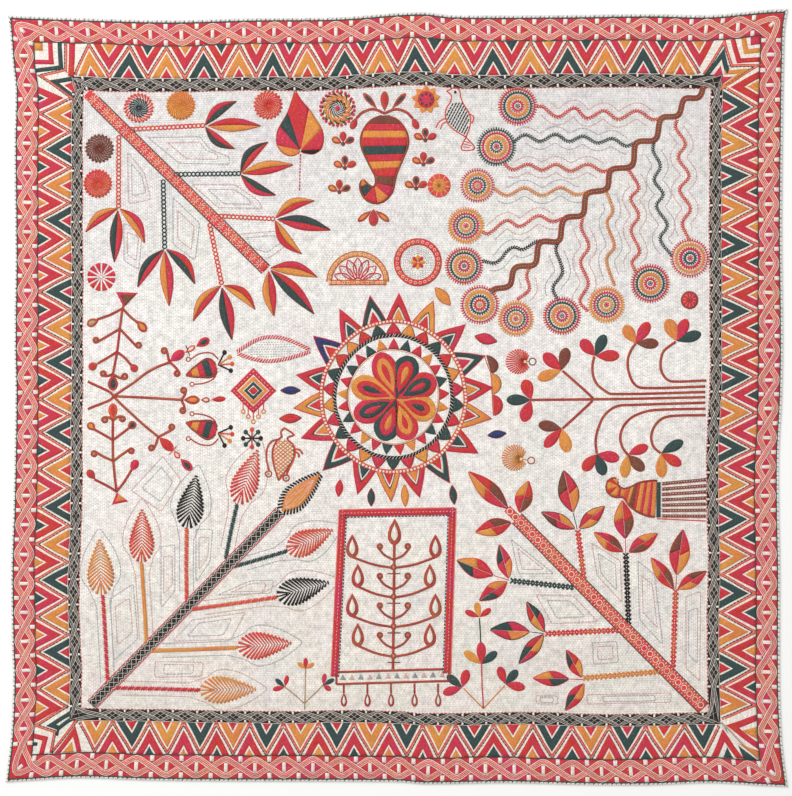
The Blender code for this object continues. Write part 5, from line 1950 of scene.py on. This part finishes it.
BOXES = (  # thread, then the corners; each box has a smaller one inside it
    ("rose", (-254, -62), (-288, -99), (-256, -122), (-234, -88)), ("ash", (-218, -141), (-200, -141), (-203, -176), (-218, -198)),
    ("ash", (-256, -160), (-241, -158), (-241, -208), (-256, -226)), ("ash", (-194, -212), (-160, -197), (-134, -196), (-137, -210)),
    ("rose", (-222, -239), (-165, -231), (-180, -260), (-243, -262)), ("rose", (-262, -284), (-210, -285), (-212, -300), (-263, -301)),
    ("ash", (-311, -216), (-286, -200), (-281, -259), (-307, -283)), ("ash", (123, -152), (131, -189), (169, -189)),
    ("rose", (210, -156), (241, -175), (243, -220), (216, -191)), ("ash", (260, -175), (278, -190), (287, -266), (262, -239)),
    ("rose", (312, -214), (328, -208), (327, -305), (312, -291)), ("rose", (150, -212), (190, -213), (217, -241), (167, -243)),
    ("ash", (211, -264), (237, -262), (239, -285), (212, -287)), ("rose", (205, -320), (296, -318), (296, -328), (205, -330)),
    ("rose", (150, -321), (173, -321), (173, -330), (150, -330)), ("rose", (-292, 267), (-274, 245), (-267, 216), (-291, 211)),
    ("ash", (-270, 283), (-214, 284), (-203, 270), (-182, 262), (-182, 254), (-236, 255)),
    ("ash", (-243, 218), (-214, 190), (-219, 150), (-243, 168)), ("rose", (-222, 232), (-176, 232), (-150, 214), (-146, 206), (-194, 207)),
    ("rose", (-175, 178), (-128, 182), (-112, 172), (-140, 152), (-165, 160)), ("ash", (-296, 190), (-276, 182), (-280, 140), (-296, 150)),
)
for thread, *corners in BOXES:
    corners = np.array(corners, float)
    middle = corners.mean(axis=0)
    for shrink, own in ((1.0, thread), (0.62, "ash" if thread == "rose" else "rose")):
        echo(middle + (corners - middle) * shrink, own, closed=True)

for k, ((thread, *points), (base, tip, width, leaf_thread)) in enumerate(zip(ROPE_STEMS, FEATHER_LEAVES)):
    stem_left, stem_right = edges(evenly(points, 6.0), 15.0)
    stem_left, stem_right = stem_left[2:-2], stem_right[2:-2]
    ahead = unit(np.subtract(tip, base))
    left, right = blade(base - ahead * 4, tip + ahead * 12, width + 15, 0.36, count=15)
    ring = np.vstack((stem_right[::-1], left[2:], right[2:][::-1], stem_left))
    echo(ring, "rose" if k % 2 else "ash")

for k, (thread, *points) in enumerate(WAVY_STEMS):
    for side in edges(curve(points, 3.0), 17.0):
        echo(side[3:-3], "ash" if k % 2 else "rose")
echoes.finish()

# %% [markdown]
# The floor is plain and white, the light is broad and soft, and the camera looks straight down, as
# a cloth is photographed on a stand. The lens is long, so the cloth shows without perspective.

# %% Floor, light and camera
CAMERA_HEIGHT = 2.6
FRAME_WIDTH = 0.8577
SENSOR = 36.0


def make_floor():
    """A broad white floor under the cloth."""
    mesh = bpy.data.meshes.new("floor")
    half = 6.0
    mesh.from_pydata([(-half, -half, 0), (half, -half, 0), (half, half, 0), (-half, half, 0)], [], [(0, 1, 2, 3)])
    floor = bpy.data.objects.new("floor", mesh)
    bpy.context.scene.collection.objects.link(floor)
    material, tree, shader = new_material("white paper")
    shader.inputs["Base Color"].default_value = linear("F6F6F5")
    shader.inputs["Roughness"].default_value = 0.9
    mesh.materials.append(material)


def make_light(name, energy, size, place, target=(0, 0, 0)):
    """A square soft light that faces a target."""
    lamp = bpy.data.lights.new(name, "AREA")
    lamp.energy, lamp.size = energy, size
    thing = bpy.data.objects.new(name, lamp)
    thing.location = place
    direction = np.array(target, float) - np.array(place, float)
    yaw = math.atan2(direction[1], direction[0])
    pitch = math.atan2(direction[2], math.hypot(direction[0], direction[1]))
    thing.rotation_euler = (math.pi / 2 + pitch, 0, yaw - math.pi / 2)
    bpy.context.scene.collection.objects.link(thing)


make_floor()
make_light("window", 60.0, 1.6, (-1.6, 1.8, 2.2))
world = bpy.data.worlds.new("studio")
world.use_nodes = True
world.node_tree.nodes["Background"].inputs["Color"].default_value = (1, 1, 1, 1)
world.node_tree.nodes["Background"].inputs["Strength"].default_value = 0.75
bpy.context.scene.world = world
bpy.context.scene.view_settings.view_transform = "Standard"

camera = bpy.data.cameras.new("camera")
camera.sensor_fit = "HORIZONTAL"
camera.sensor_width = SENSOR
camera.lens = SENSOR * CAMERA_HEIGHT / FRAME_WIDTH
camera_thing = bpy.data.objects.new("camera", camera)
camera_thing.location = (-0.0008, 0.0, CAMERA_HEIGHT)
bpy.context.scene.collection.objects.link(camera_thing)
bpy.context.scene.camera = camera_thing
